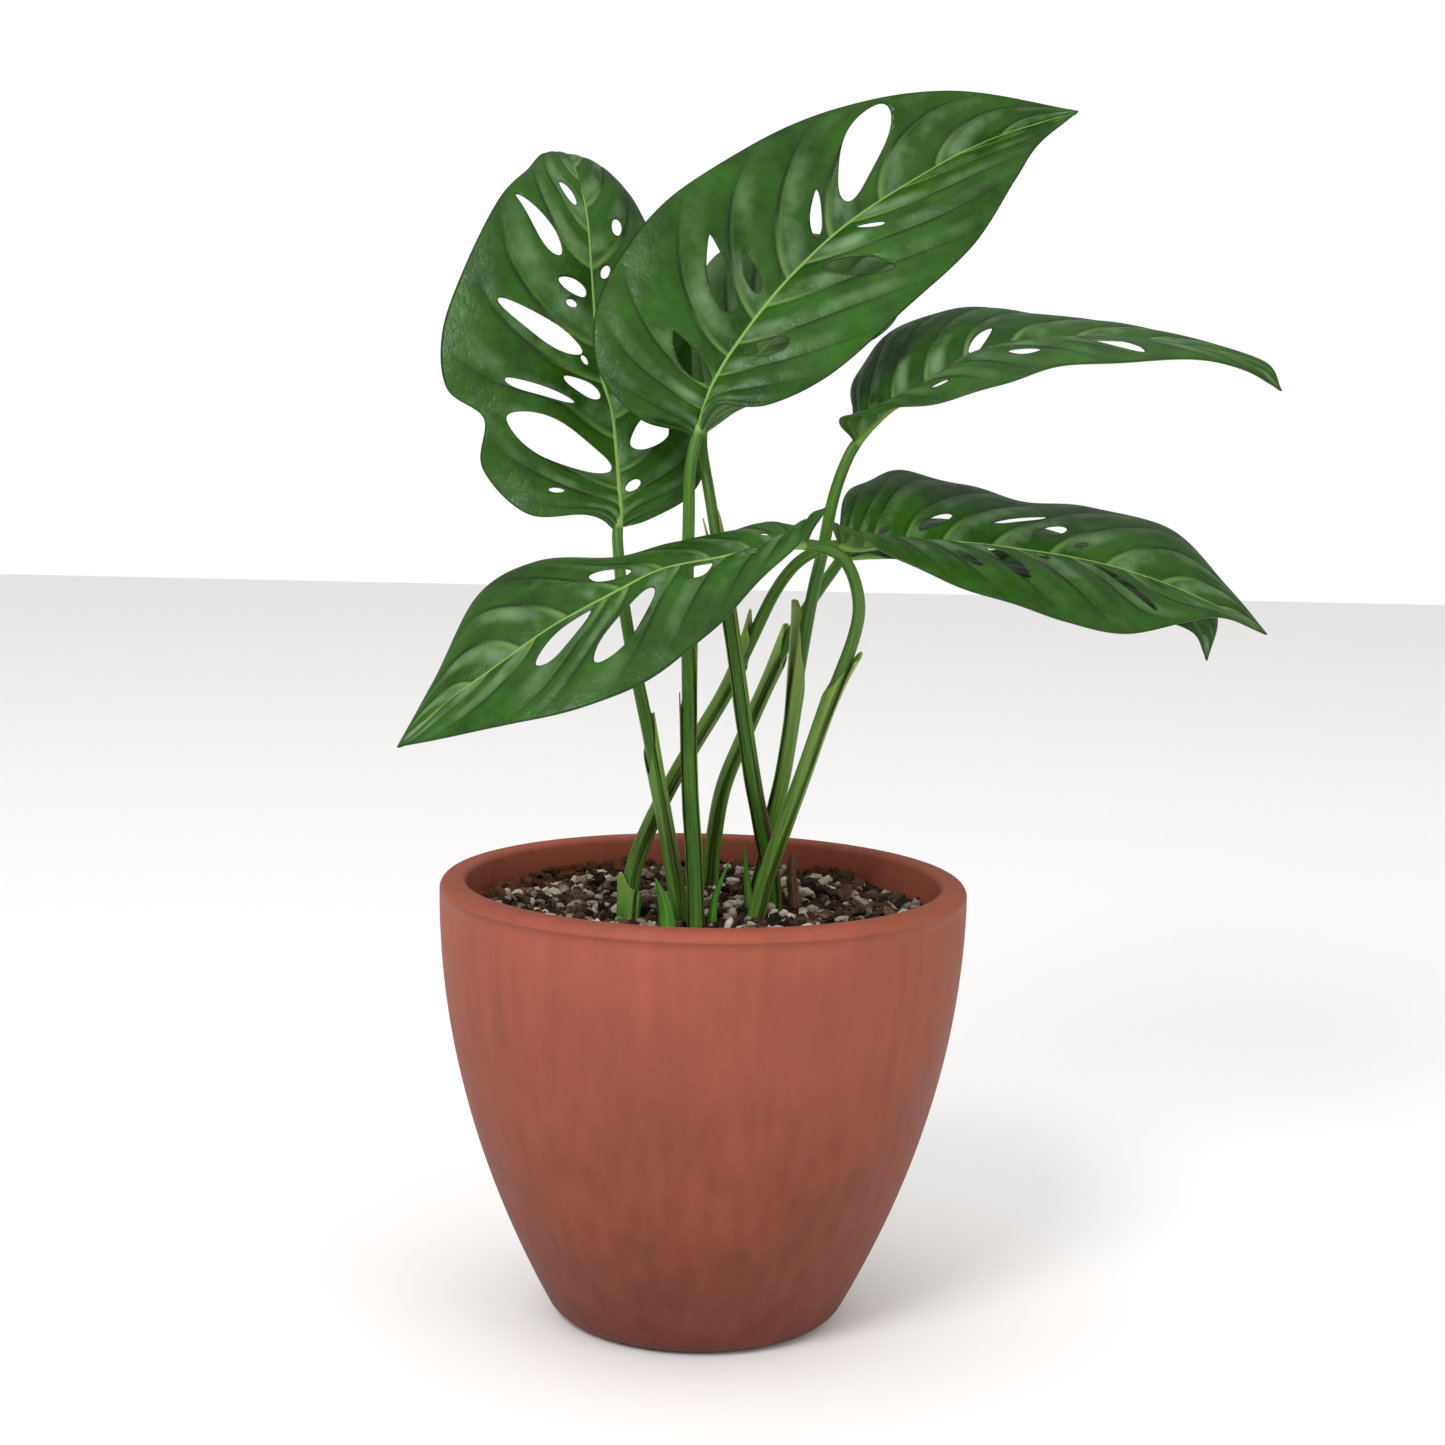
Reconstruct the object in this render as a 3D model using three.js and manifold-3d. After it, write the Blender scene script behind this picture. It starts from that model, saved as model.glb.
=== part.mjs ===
// A potted Swiss cheese plant (Monstera adansonii): a clay-coloured round pot, the
// potting mix in it, and seven perforated leaves on sheathed petioles.
// Millimetres, +Z up. The origin is the centre of the pot's underside.

import * as THREE from 'three';
import { mergeVertices } from 'three/addons/utils/BufferGeometryUtils.js';
import Module from 'manifold-3d';

const wasm = await Module();
wasm.setup();

// ---------------------------------------------------------------- driving dimensions

// Pot: a bowl whose wall flares from a rounded foot to a flat lip.
const potHeight = 144;
const rimRadius = 85; // widest circle, just under the lip
const footRadius = 40; // flat ring that the pot stands on
const footRound = 10; // radius between the underside and the wall
const potWall = 8.5;
const potFloor = 9;
const lipOuterRound = 3.5;
const lipInnerRound = 2;
const drainHoleRadius = 4;
const drainCircleRadius = 24;
const drainHoleCount = 4;
const potFacets = 48;

// Potting mix: bark and perlite, heaped a little unevenly.
const soilBelowLip = 12;
const fitGap = 0.3; // between any two pieces that touch
const soilWave = 1.6; // height of the gentle heaps
const soilBackRise = 2.5; // the mix stands higher against the back wall
const grainSize = 4.5;
const grainCount = 18;

// Plant: every leaf and petiole grows with plantScale.
const plantScale = 1;
const bladeThickness = 0.8;
const ribDepth = 0.9; // the midrib stands proud of the underside
const ribReach = 0.08; // share of the half width that the midrib's flanks take
const bladeCamber = 0.08; // each half of a blade is domed by this share of its width
const petioleRootRadius = 3.0;
const pathRootRadius = 3.0; // the root radius that the petioles' points are laid out for
const spreadHeights = [50, 115]; // thicker petioles stand further apart: fully below, not above
const petioleTipRadius = 2.0;
const petioleEndTaper = 0.4; // the last facet narrows to this share, where the midrib begins
const petioleToBlade = 1; // between a petiole's end and the base of its midrib
const plantingDepth = 10; // how far each petiole goes down into the mix
const sheathProud = 0.9; // the sheath's thickness outside the petiole
const sheathFlare = 0.12; // the share of the petiole over which the sheath's top opens out

const bladeRows = 16; // facets along a blade
const petioleSides = 8;

const soilTop = potHeight - soilBelowLip;

// ---------------------------------------------------------------- leaves and petioles

// Points are [x, y, z] from the middle of the mix's surface. midrib runs from the base of
// the blade to its tip; left and right are the margins, at the same stations, without the
// two ends, where they meet the midrib. A hole is [along, across, length, width, lean, swell]:
// its middle in the blade laid flat (across is + to the left), the degrees that it leans from
// the midrib towards the tip, between two side veins, and the share by which its outer end is
// wider (+) or narrower (-). A sheath is [from, to, facing,
// slit]: shares of the petiole's length, the side that it opens to (0 right, 90 back, 270
// front), and half the angle that stays open between its two edges.
const leaves = [
  {
    name: 'back_left',
    midrib: [[-30, 6, 123], [-29, 9, 129], [-30, 13, 137], [-31, 17, 147], [-33, 21, 161],
      [-37, 24, 173], [-39, 27, 188], [-41, 31, 208], [-43, 37, 225], [-47, 44, 238],
      [-51, 56, 245], [-48, 78, 232]],
    left: [[-39, 2, 128], [-58, -1, 128], [-73, 2, 142], [-73, 4, 158], [-85, 6, 167],
      [-87, 10, 185], [-81, 17, 205], [-71, 27, 228], [-63, 38, 238], [-57, 54, 245]],
    right: [[-22, 14, 126], [-9, 20, 132], [-3, 28, 142], [-2, 36, 157], [-2, 42, 173],
      [-4, 46, 190], [-8, 50, 206], [-21, 54, 218], [-30, 60, 233], [-39, 66, 240]],
    holes: [[125, 6, 8.5, 3.6, 28, -0.1], [114.5, 17.5, 20, 5, 43, -0.4],
      [117, -10.5, 6.5, 4, 25], [103, -4.5, 4, 2.6, 42], [99.5, 7.5, 10.5, 3.6, 72, -0.2],
      [95.5, 8.5, 4, 1.8, 80], [89.5, 19.5, 31, 6.2, 61, -0.3], [79.5, 5.5, 3.7, 2.2, 35],
      [69, 23.5, 23.5, 4.4, 58, 0.1], [69.5, 8.5, 14, 6.8, 49, -0.3],
      [49, 19.5, 40, 12, 58], [34.5, 22.5, 5.5, 1.8, 73], [53.5, -11.5, 17, 8.5, 52, 0.2],
      [31, -4.5, 8, 3.6, 32]],
    petiole: [[-7, -15, 0], [-9, -14, 13], [-13, -12, 34], [-18, -9, 58], [-23, -4, 79],
      [-27, 0, 98], [-29, 3, 112]],
    sheath: [0.12, 0.55, 285, 14],
  },
  {
    name: 'front',
    midrib: [[-5, -3, 154], [-3, -1, 163], [1, 3, 173], [9, 9, 186], [22, 18, 203],
      [40, 28, 221], [61, 36, 236], [87, 44, 251], [118, 48, 262]],
    left: [[-23, -10, 159], [-37, -9, 176], [-35, 2, 201], [-17, 14, 227], [9, 27, 246],
      [38, 36, 260], [76, 42, 267]],
    right: [[3, -8, 164], [17, -8, 164], [38, -2, 175], [60, 8, 195], [82, 18, 216],
      [96, 28, 238], [104, 38, 250]],
    holes: [[130.5, 16, 32, 10.5, 41, 0.1], [110, 8.5, 14.5, 3.4, 50, -0.4],
      [113.5, -8, 8.5, 2.4, 80, 0.3], [98.5, -17.5, 21, 6.5, 82, -0.3],
      [80, 17.5, 25.5, 6.2, 52, -0.6], [85.5, 10, 14, 4, 60, -0.5],
      [49, 10.5, 26, 7.2, 44, -0.4], [64.5, -9, 15, 7, 44, 0.4]],
    petiole: [[-2, -21, 0], [-3, -18, 20], [-5, -13, 45], [-6, -9, 74], [-7, -7, 102],
      [-7, -6, 128], [-7, -5, 143]],
    sheath: [0.1, 0.58, 270, 62],
  },
  {
    name: 'right_upper',
    midrib: [[45, 2, 152], [49, 2, 157], [56, 3, 164], [66, 4, 170], [79, 6, 180],
      [93, 7, 185], [113, 6, 187], [136, 4, 187], [157, 0, 184], [170, -3, 179],
      [178, -6, 172]],
    left: [[45, 20, 162], [46, 30, 174], [55, 37, 186], [71, 42, 195], [89, 43, 197],
      [112, 41, 194], [135, 31, 191], [158, 16, 186], [174, 2, 181]],
    right: [[40, -10, 160], [51, -20, 163], [61, -28, 165], [75, -33, 168], [89, -34, 173],
      [106, -32, 178], [129, -24, 180], [152, -12, 181], [166, -8, 178]],
    holes: [[67.5, 5, 13, 4.6, 44, -0.3], [79.5, -25.5, 10, 5.5, 40, 0.2],
      [54.5, -27, 6, 3.4, 20, 0.2], [99, -18.5, 17, 6, 33]],
    petiole: [[17, 20, 0], [20, 18, 14], [22, 16, 28], [25, 14, 43], [27, 12, 58],
      [29, 10, 76], [33, 5, 104], [36, 2, 119], [38, 1, 132], [41, 1, 143]],
    sheath: [0.12, 0.63, 225, 14],
  },
  {
    name: 'right_middle',
    midrib: [[40, -8, 121], [46, -7, 120], [54, -5, 121], [64, -3, 122], [79, 0, 122],
      [99, 2, 120], [120, 3, 117], [140, 2, 112], [161, 0, 104], [178, -2, 95]],
    left: [[42, 13, 133], [50, 25, 140], [63, 34, 143], [83, 40, 139], [103, 43, 134],
      [126, 43, 132], [152, 38, 126], [168, 17, 109]],
    right: [[38, -18, 128], [45, -25, 125], [53, -30, 121], [70, -34, 113], [89, -36, 107],
      [109, -36, 101], [129, -32, 97], [159, -12, 101]],
    holes: [[35, 5, 6.5, 2, 15], [56, 8.5, 13.5, 4, 39], [79, 16.5, 18.5, 2.2, 41],
      [86.5, 11, 12, 4.4, 52, 0.2], [94.5, 6.5, 4, 1.6, 53],
      [69.5, -21.5, 11.5, 3, 53, 0.1], [78, -16.5, 27, 4.4, 60, 0.2],
      [85.5, -6.5, 10, 2.6, 70], [106.5, -13.5, 28, 4, 47], [113.5, -4, 9.5, 1.8, 53]],
    petiole: [[-24, -7, 0], [-23, -5, 13], [-18, -2, 28], [-8, 2, 48], [5, 9, 70],
      [14, 9, 89], [21, 3, 105], [29, -5, 116]],
    sheath: [0.08, 0.71, 285, 14],
  },
  {
    name: 'left_lower',
    midrib: [[29, -28, 122], [24, -32, 122], [15, -37, 121], [2, -43, 118],
      [-14, -49, 115], [-28, -54, 108], [-46, -58, 98], [-61, -62, 87], [-77, -65, 75],
      [-91, -67, 62]],
    left: [[35, -42, 134], [27, -53, 125], [13, -65, 111], [0, -75, 98], [-16, -83, 86],
      [-34, -87, 78], [-56, -84, 72], [-77, -75, 66]],
    right: [[28, -22, 127], [21, -17, 128], [6, -16, 125], [-13, -18, 120],
      [-33, -21, 116], [-54, -26, 115], [-71, -36, 104], [-82, -53, 80]],
    holes: [[79.5, -10, 14, 6.3, 43, 0.1], [80.5, 17.5, 27, 8.5, 42],
      [95, 9, 20, 7.4, 38, 0.4], [56, 7.5, 12.5, 5.5, 44, 0.2], [39.5, 6.5, 7.5, 4, 62],
      [32, -7, 5.5, 1.8, 22]],
    petiole: [[17, -6, 0], [20, -6, 13], [25, -7, 29], [31, -8, 47], [36, -10, 63],
      [41, -12, 78], [45, -15, 90], [47, -18, 101], [45, -21, 111], [41, -24, 118],
      [35, -27, 121]],
    sheath: [0.1, 0.57, 295, 14],
  },
  {
    name: 'right_lower',
    midrib: [[44, 16, 116], [52, 21, 116], [65, 27, 116], [82, 32, 114], [103, 35, 112],
      [123, 36, 109], [143, 35, 105], [155, 32, 101], [163, 30, 92], [165, 28, 83]],
    left: [[49, 36, 121], [60, 50, 125], [78, 60, 126], [102, 66, 125], [125, 66, 121],
      [146, 60, 116], [162, 50, 109], [170, 40, 97]],
    right: [[52, 10, 117], [63, 8, 116], [80, 8, 112], [100, 8, 108], [119, 9, 103],
      [138, 12, 99], [151, 20, 96], [160, 25, 92]],
    holes: [[58, 12, 15, 5, 50], [78, -13, 16, 5, 50], [92, 14, 14, 4, 48]],
    petiole: [[2, 45, 4], [3, 44, 18], [6, 40, 36], [13, 35, 55], [20, 30, 73],
      [26, 26, 87], [33, 22, 100], [40, 18, 111]],
    sheath: [0.1, 0.7, 270, 14],
  },
  {
    name: 'behind_front',
    midrib: [[-4, 22, 153], [-1, 23, 161], [6, 26, 170], [16, 31, 182], [29, 37, 193],
      [44, 43, 202], [58, 48, 207], [71, 51, 210]],
    left: [[-7, 26, 163], [-8, 32, 183], [-5, 40, 206], [9, 48, 218], [31, 54, 221],
      [54, 56, 217]],
    right: [[8, 18, 162], [19, 18, 167], [32, 21, 175], [45, 27, 182], [56, 34, 189],
      [62, 42, 197]],
    holes: [[45, 12, 13, 4.5, 52], [60, -8, 10, 4, 52]],
    petiole: [[23, 9, 0], [22, 7, 12], [19, 5, 26], [16, 3, 40], [13, 1, 57], [10, 0, 76],
      [6, 4, 100], [2, 12, 120], [-1, 17, 136]],
    sheath: [0.14, 0.87, 250, 55],
  },
];

// Young growth and one dried stem at the foot of the plant: a curved path and its radii.
const shoots = [
  { name: 'shoot_cone', path: [[-11, -24, 0], [-12, -24, 7], [-15, -25, 15]], root: 2.7, tip: 0.5 },
  { name: 'shoot_curved', path: [[3, -15, 0], [4, -15, 8], [8, -15, 19]], root: 1.7, tip: 0.4 },
  { name: 'shoot_spike', path: [[15, 5, 0], [14, 6, 10], [13, 7, 21]], root: 1.5, tip: 0.4 },
  { name: 'dried_stem', path: [[30, 15, 0], [29, 15, 8], [29, 16, 16]], root: 2.2, tip: 1.5 },
];

// ---------------------------------------------------------------- materials

const finish = (color, roughness) => new THREE.MeshStandardMaterial({ color, roughness, metalness: 0 });

const terracotta = finish(0x8f4638, 0.75);
const barkMix = finish(0x4a3a30, 0.95);
const leafGreen = finish(0x2f6a24, 0.45);
const stemGreen = finish(0x4e7327, 0.5);
const shootGreen = finish(0x4f9a2c, 0.5);
const driedBrown = finish(0x6b4a38, 0.8);

// ---------------------------------------------------------------- solids

// A closed geometry as a solid that can be joined and cut.
function solidOf(geometry) {
  geometry.deleteAttribute('normal');
  geometry.deleteAttribute('uv');
  const merged = mergeVertices(geometry, 1e-4);
  const index = merged.index.array;
  const triangles = [];
  for (let i = 0; i < index.length; i += 3) {
    const [a, b, c] = [index[i], index[i + 1], index[i + 2]];
    if (a !== b && b !== c && c !== a) triangles.push(a, b, c);
  }
  return new wasm.Manifold(new wasm.Mesh({
    numProp: 3,
    vertProperties: new Float32Array(merged.attributes.position.array),
    triVerts: new Uint32Array(triangles),
  }));
}

// A solid back as a geometry, each point moved by an optional function.
function geometryOf(solid, move = (point) => point) {
  const mesh = solid.getMesh();
  const positions = [];
  for (let i = 0; i < mesh.vertProperties.length; i += mesh.numProp) {
    const point = new THREE.Vector3(...mesh.vertProperties.slice(i, i + 3));
    positions.push(...move(point).toArray());
  }
  const geometry = new THREE.BufferGeometry();
  geometry.setAttribute('position', new THREE.Float32BufferAttribute(positions, 3));
  geometry.setIndex([...mesh.triVerts]);
  geometry.computeVertexNormals();
  return geometry;
}

function namedMesh(name, geometry, material) {
  const mesh = new THREE.Mesh(geometry, material);
  mesh.name = name;
  return mesh;
}

// A closed profile of [radius, height] points turned round the Z axis.
function turned(profile, facets) {
  const points = profile.map(([radius, height]) => new THREE.Vector2(radius, height));
  return new THREE.LatheGeometry(points, facets).rotateX(Math.PI / 2);
}

// ---------------------------------------------------------------- curves

const vector = ([x, y, z]) => new THREE.Vector3(x, y, z);

// A curve from the mix's surface upwards, grown to size.
function plantCurve(points) {
  return new THREE.CatmullRomCurve3(points.map((p) => vector(p).multiplyScalar(plantScale)),
    false, 'catmullrom', 1);
}

// Carries a shape drawn round the Z axis, from height 0 to 1, onto a curve. sizeAt gives
// the number of millimetres in one unit of the shape at each share of the curve.
function bendAlong(curve, sizeAt) {
  return (point) => {
    const share = THREE.MathUtils.clamp(point.z, 0, 1);
    const centre = curve.getPoint(share);
    const ahead = curve.getTangent(share);
    const back = new THREE.Vector3(0, 1, 0).addScaledVector(ahead, -ahead.y).normalize();
    const right = new THREE.Vector3().crossVectors(back, ahead);
    const size = sizeAt(share, point);
    return centre.addScaledVector(right, point.x * size).addScaledVector(back, point.y * size);
  };
}

// ---------------------------------------------------------------- pot

// Outer radius of the wall: a parabola from the foot's rounding up to the widest circle.
const wallTop = potHeight - lipOuterRound;
const flareAngle = Math.atan2(2 * (rimRadius - footRadius - footRound), wallTop);
const wallFootRadius = footRadius + footRound * Math.cos(flareAngle);
const wallFootHeight = footRound * (1 - Math.sin(flareAngle));

function outerRadius(height) {
  const drop = (wallTop - height) / (wallTop - wallFootHeight);
  return rimRadius - (rimRadius - wallFootRadius) * drop ** 2;
}

// The bowl that the mix fills, from its rounded bottom to the mix's surface.
const bowlBottom = potFloor + footRound;
const bowlSteps = 4;

const innerRadius = (height) => outerRadius(Math.min(height, wallTop)) - potWall;

function arc(radius, height, round, fromAngle, toAngle, steps) {
  const points = [];
  for (let i = 0; i <= steps; i += 1) {
    const angle = fromAngle + ((toAngle - fromAngle) * i) / steps;
    points.push([radius + round * Math.cos(angle), height + round * Math.sin(angle)]);
  }
  return points;
}

function wallPoints(radiusAt, from, to, steps) {
  const points = [];
  for (let i = 0; i <= steps; i += 1) {
    const height = from + ((to - from) * i) / steps;
    points.push([radiusAt(height), height]);
  }
  return points;
}

function makePot() {
  const quarter = Math.PI / 2;
  const lipInner = rimRadius - potWall;
  const profile = [
    [0, 0],
    ...arc(footRadius, footRound, footRound, -quarter, -flareAngle, 3),
    ...wallPoints(outerRadius, wallFootHeight, wallTop, 7).slice(1),
    ...arc(rimRadius - lipOuterRound, wallTop, lipOuterRound, 0, quarter, 3).slice(1),
    ...arc(lipInner + lipInnerRound, potHeight - lipInnerRound, lipInnerRound, quarter, 2 * quarter, 3),
    [innerRadius(wallTop), wallTop - lipInnerRound],
    ...wallPoints(innerRadius, soilTop, bowlBottom, bowlSteps),
    [innerRadius(bowlBottom) - footRound, potFloor],
    [0, potFloor],
  ];
  let pot = solidOf(turned(profile, potFacets));
  for (let i = 0; i < drainHoleCount; i += 1) {
    const angle = (2 * Math.PI * (i + 0.5)) / drainHoleCount;
    const hole = new THREE.CylinderGeometry(drainHoleRadius, drainHoleRadius, 4 * potFloor, 20);
    hole.rotateX(Math.PI / 2);
    hole.translate(drainCircleRadius * Math.cos(angle), drainCircleRadius * Math.sin(angle), 0);
    pot = pot.subtract(solidOf(hole));
  }
  return namedMesh('pot', geometryOf(pot), terracotta);
}

// ---------------------------------------------------------------- stems

// A round stem along a curve, from radius root to radius tip, made thicker by grow.
function stemSolid(curve, root, tip, steps, grow = 0) {
  const rod = new THREE.CylinderGeometry(1, 1, 1, petioleSides, steps);
  rod.rotateX(Math.PI / 2).translate(0, 0, 0.5);
  const radiusAt = (share) => {
    const taper = share > 1 - 0.5 / steps ? petioleEndTaper : 1;
    return (root + (tip - root) * share) * taper * plantScale + grow;
  };
  return solidOf(geometryOf(solidOf(rod), bendAlong(curve, radiusAt)));
}

// A leaf sheath: a thin shell wrapping the petiole, open along one side, and cut off at the
// top, where it stands a little away. Its inner side is half a unit out until it is fitted.
function sheathSolid(curve, root, tip, [from, to, facing, slit], grow = 0) {
  const first = THREE.MathUtils.degToRad(facing + slit);
  const last = THREE.MathUtils.degToRad(facing - slit + 360);
  const shape = new THREE.Shape();
  shape.absarc(0, 0, 1, first, last, false);
  shape.absarc(0, 0, 0.5, last, first, true);
  const shell = new THREE.ExtrudeGeometry(shape,
    { depth: to - from, steps: 7, bevelEnabled: false, curveSegments: 8 });
  shell.translate(0, 0, from);
  const sizeAt = (share, point) => {
    const radius = (root + (tip - root) * share) * plantScale;
    const outside = Math.hypot(point.x, point.y) > 0.75;
    const flare = 1 + THREE.MathUtils.smoothstep(share, to - sheathFlare, to);
    return outside ? radius + sheathProud * plantScale * flare + grow : radius;
  };
  return solidOf(geometryOf(solidOf(shell), bendAlong(curve, sizeAt)));
}

// A point on a petiole or shoot, moved away from the pot's middle as petioles get thicker.
function spreadOut([x, y, z]) {
  const share = 1 - THREE.MathUtils.smoothstep(z, ...spreadHeights);
  const spread = 1 + (petioleRootRadius / pathRootRadius - 1) * share;
  return vector([x * spread, y * spread, z]);
}

// The petiole's curve: planted in the mix, and stopping just short of the blade.
function petioleCurve(leaf) {
  const points = leaf.petiole.map(spreadOut);
  const base = vector(leaf.midrib[0]);
  const arrival = base.clone().sub(points.at(-1)).normalize();
  const end = base.addScaledVector(arrival, -petioleToBlade);
  const start = points[0].clone().addScaledVector(points[1].clone().sub(points[0]).normalize(),
    -plantingDepth / plantScale);
  return plantCurve([start, ...points, end].map((p) => p.toArray()));
}

function petioleSolid(leaf, grow = 0) {
  const curve = petioleCurve(leaf);
  const steps = leaf.petiole.length + 5;
  const stem = stemSolid(curve, petioleRootRadius, petioleTipRadius, steps, grow);
  return stem.add(sheathSolid(curve, petioleRootRadius, petioleTipRadius, leaf.sheath, grow));
}

function shootSolid(shoot, grow = 0) {
  const points = shoot.path.map(spreadOut);
  const start = points[0].clone().setZ(-plantingDepth / 2 / plantScale);
  const curve = plantCurve([start, ...points].map((p) => p.toArray()));
  return stemSolid(curve, shoot.root, shoot.tip, 6, grow);
}

// ---------------------------------------------------------------- potting mix

// Height of the mix above its mean level: low waves, and a rise towards the back wall.
function soilHeap(x, y) {
  const waves = Math.sin(x / 11 + 1) * Math.cos(y / 13) + 0.5 * Math.sin(x / 6 - y / 7);
  const back = Math.max(0, y / rimRadius);
  return soilWave * 0.7 * waves + soilBackRise * back * back;
}

function makePottingMix() {
  const bottom = potFloor + fitGap;
  const radiusAt = (height) => innerRadius(height) - fitGap;
  const topRings = 5;
  const edge = radiusAt(soilTop);
  const profile = [
    [0, bottom],
    [radiusAt(bowlBottom) - footRound, bottom],
    ...wallPoints(radiusAt, bowlBottom, soilTop, bowlSteps),
  ];
  for (let i = 1; i <= topRings; i += 1) profile.push([edge * (1 - i / topRings), soilTop]);
  const heaped = (point) => {
    if (point.z > soilTop - 0.01) point.z += soilHeap(point.x, point.y);
    return point;
  };
  let mix = solidOf(geometryOf(solidOf(turned(profile, potFacets)), heaped));
  for (let i = 0; i < grainCount; i += 1) {
    const angle = i * 2.4; // the golden angle spreads the grains evenly
    const radius = (edge - 2 * grainSize) * Math.sqrt((i + 0.5) / grainCount);
    const size = (grainSize * (2 + (i % 3))) / 3;
    const [x, y] = [radius * Math.cos(angle), radius * Math.sin(angle)];
    const grain = new THREE.IcosahedronGeometry(size / 2).scale(1.3, 1, 0.8).rotateZ(i);
    grain.translate(x, y, soilTop + soilHeap(x, y));
    mix = mix.add(solidOf(grain));
  }
  const lift = new THREE.Matrix4().makeTranslation(0, 0, soilTop);
  const sockets = [
    ...leaves.map((leaf) => petioleSolid(leaf, fitGap)),
    ...shoots.map((shoot) => shootSolid(shoot, fitGap)),
  ];
  for (const socket of sockets) mix = mix.subtract(socket.transform(lift.toArray()));
  return namedMesh('potting_mix', geometryOf(mix), barkMix);
}

// ---------------------------------------------------------------- leaf blades

// The blade's surface: share runs from base to tip, side from -1 (right margin) to 1 (left).
function bladeSurface(leaf) {
  const ends = [leaf.midrib[0], leaf.midrib.at(-1)];
  const midrib = plantCurve(leaf.midrib);
  const left = plantCurve([ends[0], ...leaf.left, ends[1]]);
  const right = plantCurve([ends[0], ...leaf.right, ends[1]]);
  const halfWidth = (share, side) =>
    (side < 0 ? right : left).getPoint(share).distanceTo(midrib.getPoint(share));
  const pointAt = (share, side) => {
    const middle = midrib.getPoint(share);
    const margin = (side < 0 ? right : left).getPoint(share);
    const reach = Math.abs(side);
    const span = right.getPoint(share).sub(left.getPoint(share));
    const up = span.cross(midrib.getTangent(share)).normalize();
    const camber = bladeCamber * middle.distanceTo(margin) * 4 * reach * (1 - reach);
    return middle.lerp(margin, reach).addScaledVector(up, camber);
  };
  const normalAt = (share, side) => {
    const step = 0.01;
    const s = THREE.MathUtils.clamp(share, 0.03, 0.97);
    const along = pointAt(s + step, side).sub(pointAt(s - step, side));
    const low = Math.max(side - 2 * step, -1);
    const high = Math.min(side + 2 * step, 1);
    const across = pointAt(s, high).sub(pointAt(s, low));
    return along.cross(across).normalize();
  };
  return { length: midrib.getLength(), halfWidth, pointAt, normalAt };
}

// The blade laid flat, one unit thick: rows of points from base to tip, both faces closed
// by the margin.
function flatBlade(surface) {
  const columns = [-1, -0.72, -0.4, -ribReach, 0, ribReach, 0.4, 0.72, 1];
  const positions = [];
  const rows = [];
  for (let row = 0; row <= bladeRows; row += 1) {
    const share = row / bladeRows;
    const sides = row === 0 || row === bladeRows ? [0] : columns;
    rows.push(sides.map((side) => {
      const across = side * surface.halfWidth(share, side);
      positions.push(share * surface.length, across, 0, share * surface.length, across, 1);
      return positions.length / 3 - 2;
    }));
  }
  const index = [];
  const wall = (a, b) => index.push(a, b, b + 1, a, b + 1, a + 1);
  const sheet = (a, b, c) => index.push(a + 1, b + 1, c + 1, c, b, a);
  for (let row = 0; row < bladeRows; row += 1) {
    const [near, far] = [rows[row], rows[row + 1]];
    for (let i = 0; i < columns.length - 1; i += 1) {
      if (near.length > 1) sheet(near[i], far[far.length > 1 ? i : 0], near[i + 1]);
      if (far.length > 1) sheet(near[near.length > 1 ? i + 1 : 0], far[i], far[i + 1]);
    }
    wall(near[0], far[0]);
    wall(far.at(-1), near.at(-1));
  }
  const geometry = new THREE.BufferGeometry();
  geometry.setAttribute('position', new THREE.Float32BufferAttribute(positions, 3));
  geometry.setIndex(index);
  return geometry;
}

// An egg-shaped prism through the flat blade.
function holePrism([along, across, length, width, lean, swell = 0]) {
  const outline = [];
  const steps = 12;
  for (let i = 0; i < steps; i += 1) {
    const angle = (2 * Math.PI * i) / steps;
    const taper = 1 + swell * Math.cos(angle);
    outline.push(new THREE.Vector2(
      (length / 2) * Math.cos(angle), (width / 2) * Math.sin(angle) * taper));
  }
  const prism = new THREE.ExtrudeGeometry(new THREE.Shape(outline), { depth: 3, bevelEnabled: false });
  const turn = THREE.MathUtils.degToRad(lean) * Math.sign(across);
  prism.rotateZ(turn).translate(along, across, -1);
  return prism.scale(plantScale, plantScale, 1);
}

function makeBlade(leaf) {
  const surface = bladeSurface(leaf);
  let blade = solidOf(flatBlade(surface));
  for (const hole of leaf.holes) blade = blade.subtract(solidOf(holePrism(hole)));
  const curl = (point) => {
    const share = THREE.MathUtils.clamp(point.x / surface.length, 0, 1);
    const width = surface.halfWidth(share, point.y);
    const side = width > 1e-3 ? THREE.MathUtils.clamp(point.y / width, -1, 1) : 0;
    const ribTaper = THREE.MathUtils.smoothstep(share, 0, 0.1) * (1 - share);
    const rib = ribDepth * Math.max(0, 1 - Math.abs(side) / ribReach) * ribTaper;
    const depth = (1 - point.z) * (bladeThickness + rib) * plantScale;
    return surface.pointAt(share, side).addScaledVector(surface.normalAt(share, side), -depth);
  };
  return namedMesh(`leaf_${leaf.name}`, geometryOf(blade, curl), leafGreen);
}

// ---------------------------------------------------------------- assembly

const plant = new THREE.Group();
plant.position.z = soilTop;
for (const leaf of leaves) {
  plant.add(makeBlade(leaf));
  plant.add(namedMesh(`petiole_${leaf.name}`, geometryOf(petioleSolid(leaf)), stemGreen));
}
for (const shoot of shoots) {
  const material = shoot.name.startsWith('dried') ? driedBrown : shootGreen;
  plant.add(namedMesh(shoot.name, geometryOf(shootSolid(shoot)), material));
}

const pottedMonstera = new THREE.Group();
pottedMonstera.add(makePot(), makePottingMix(), plant);

export default pottedMonstera;
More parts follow.
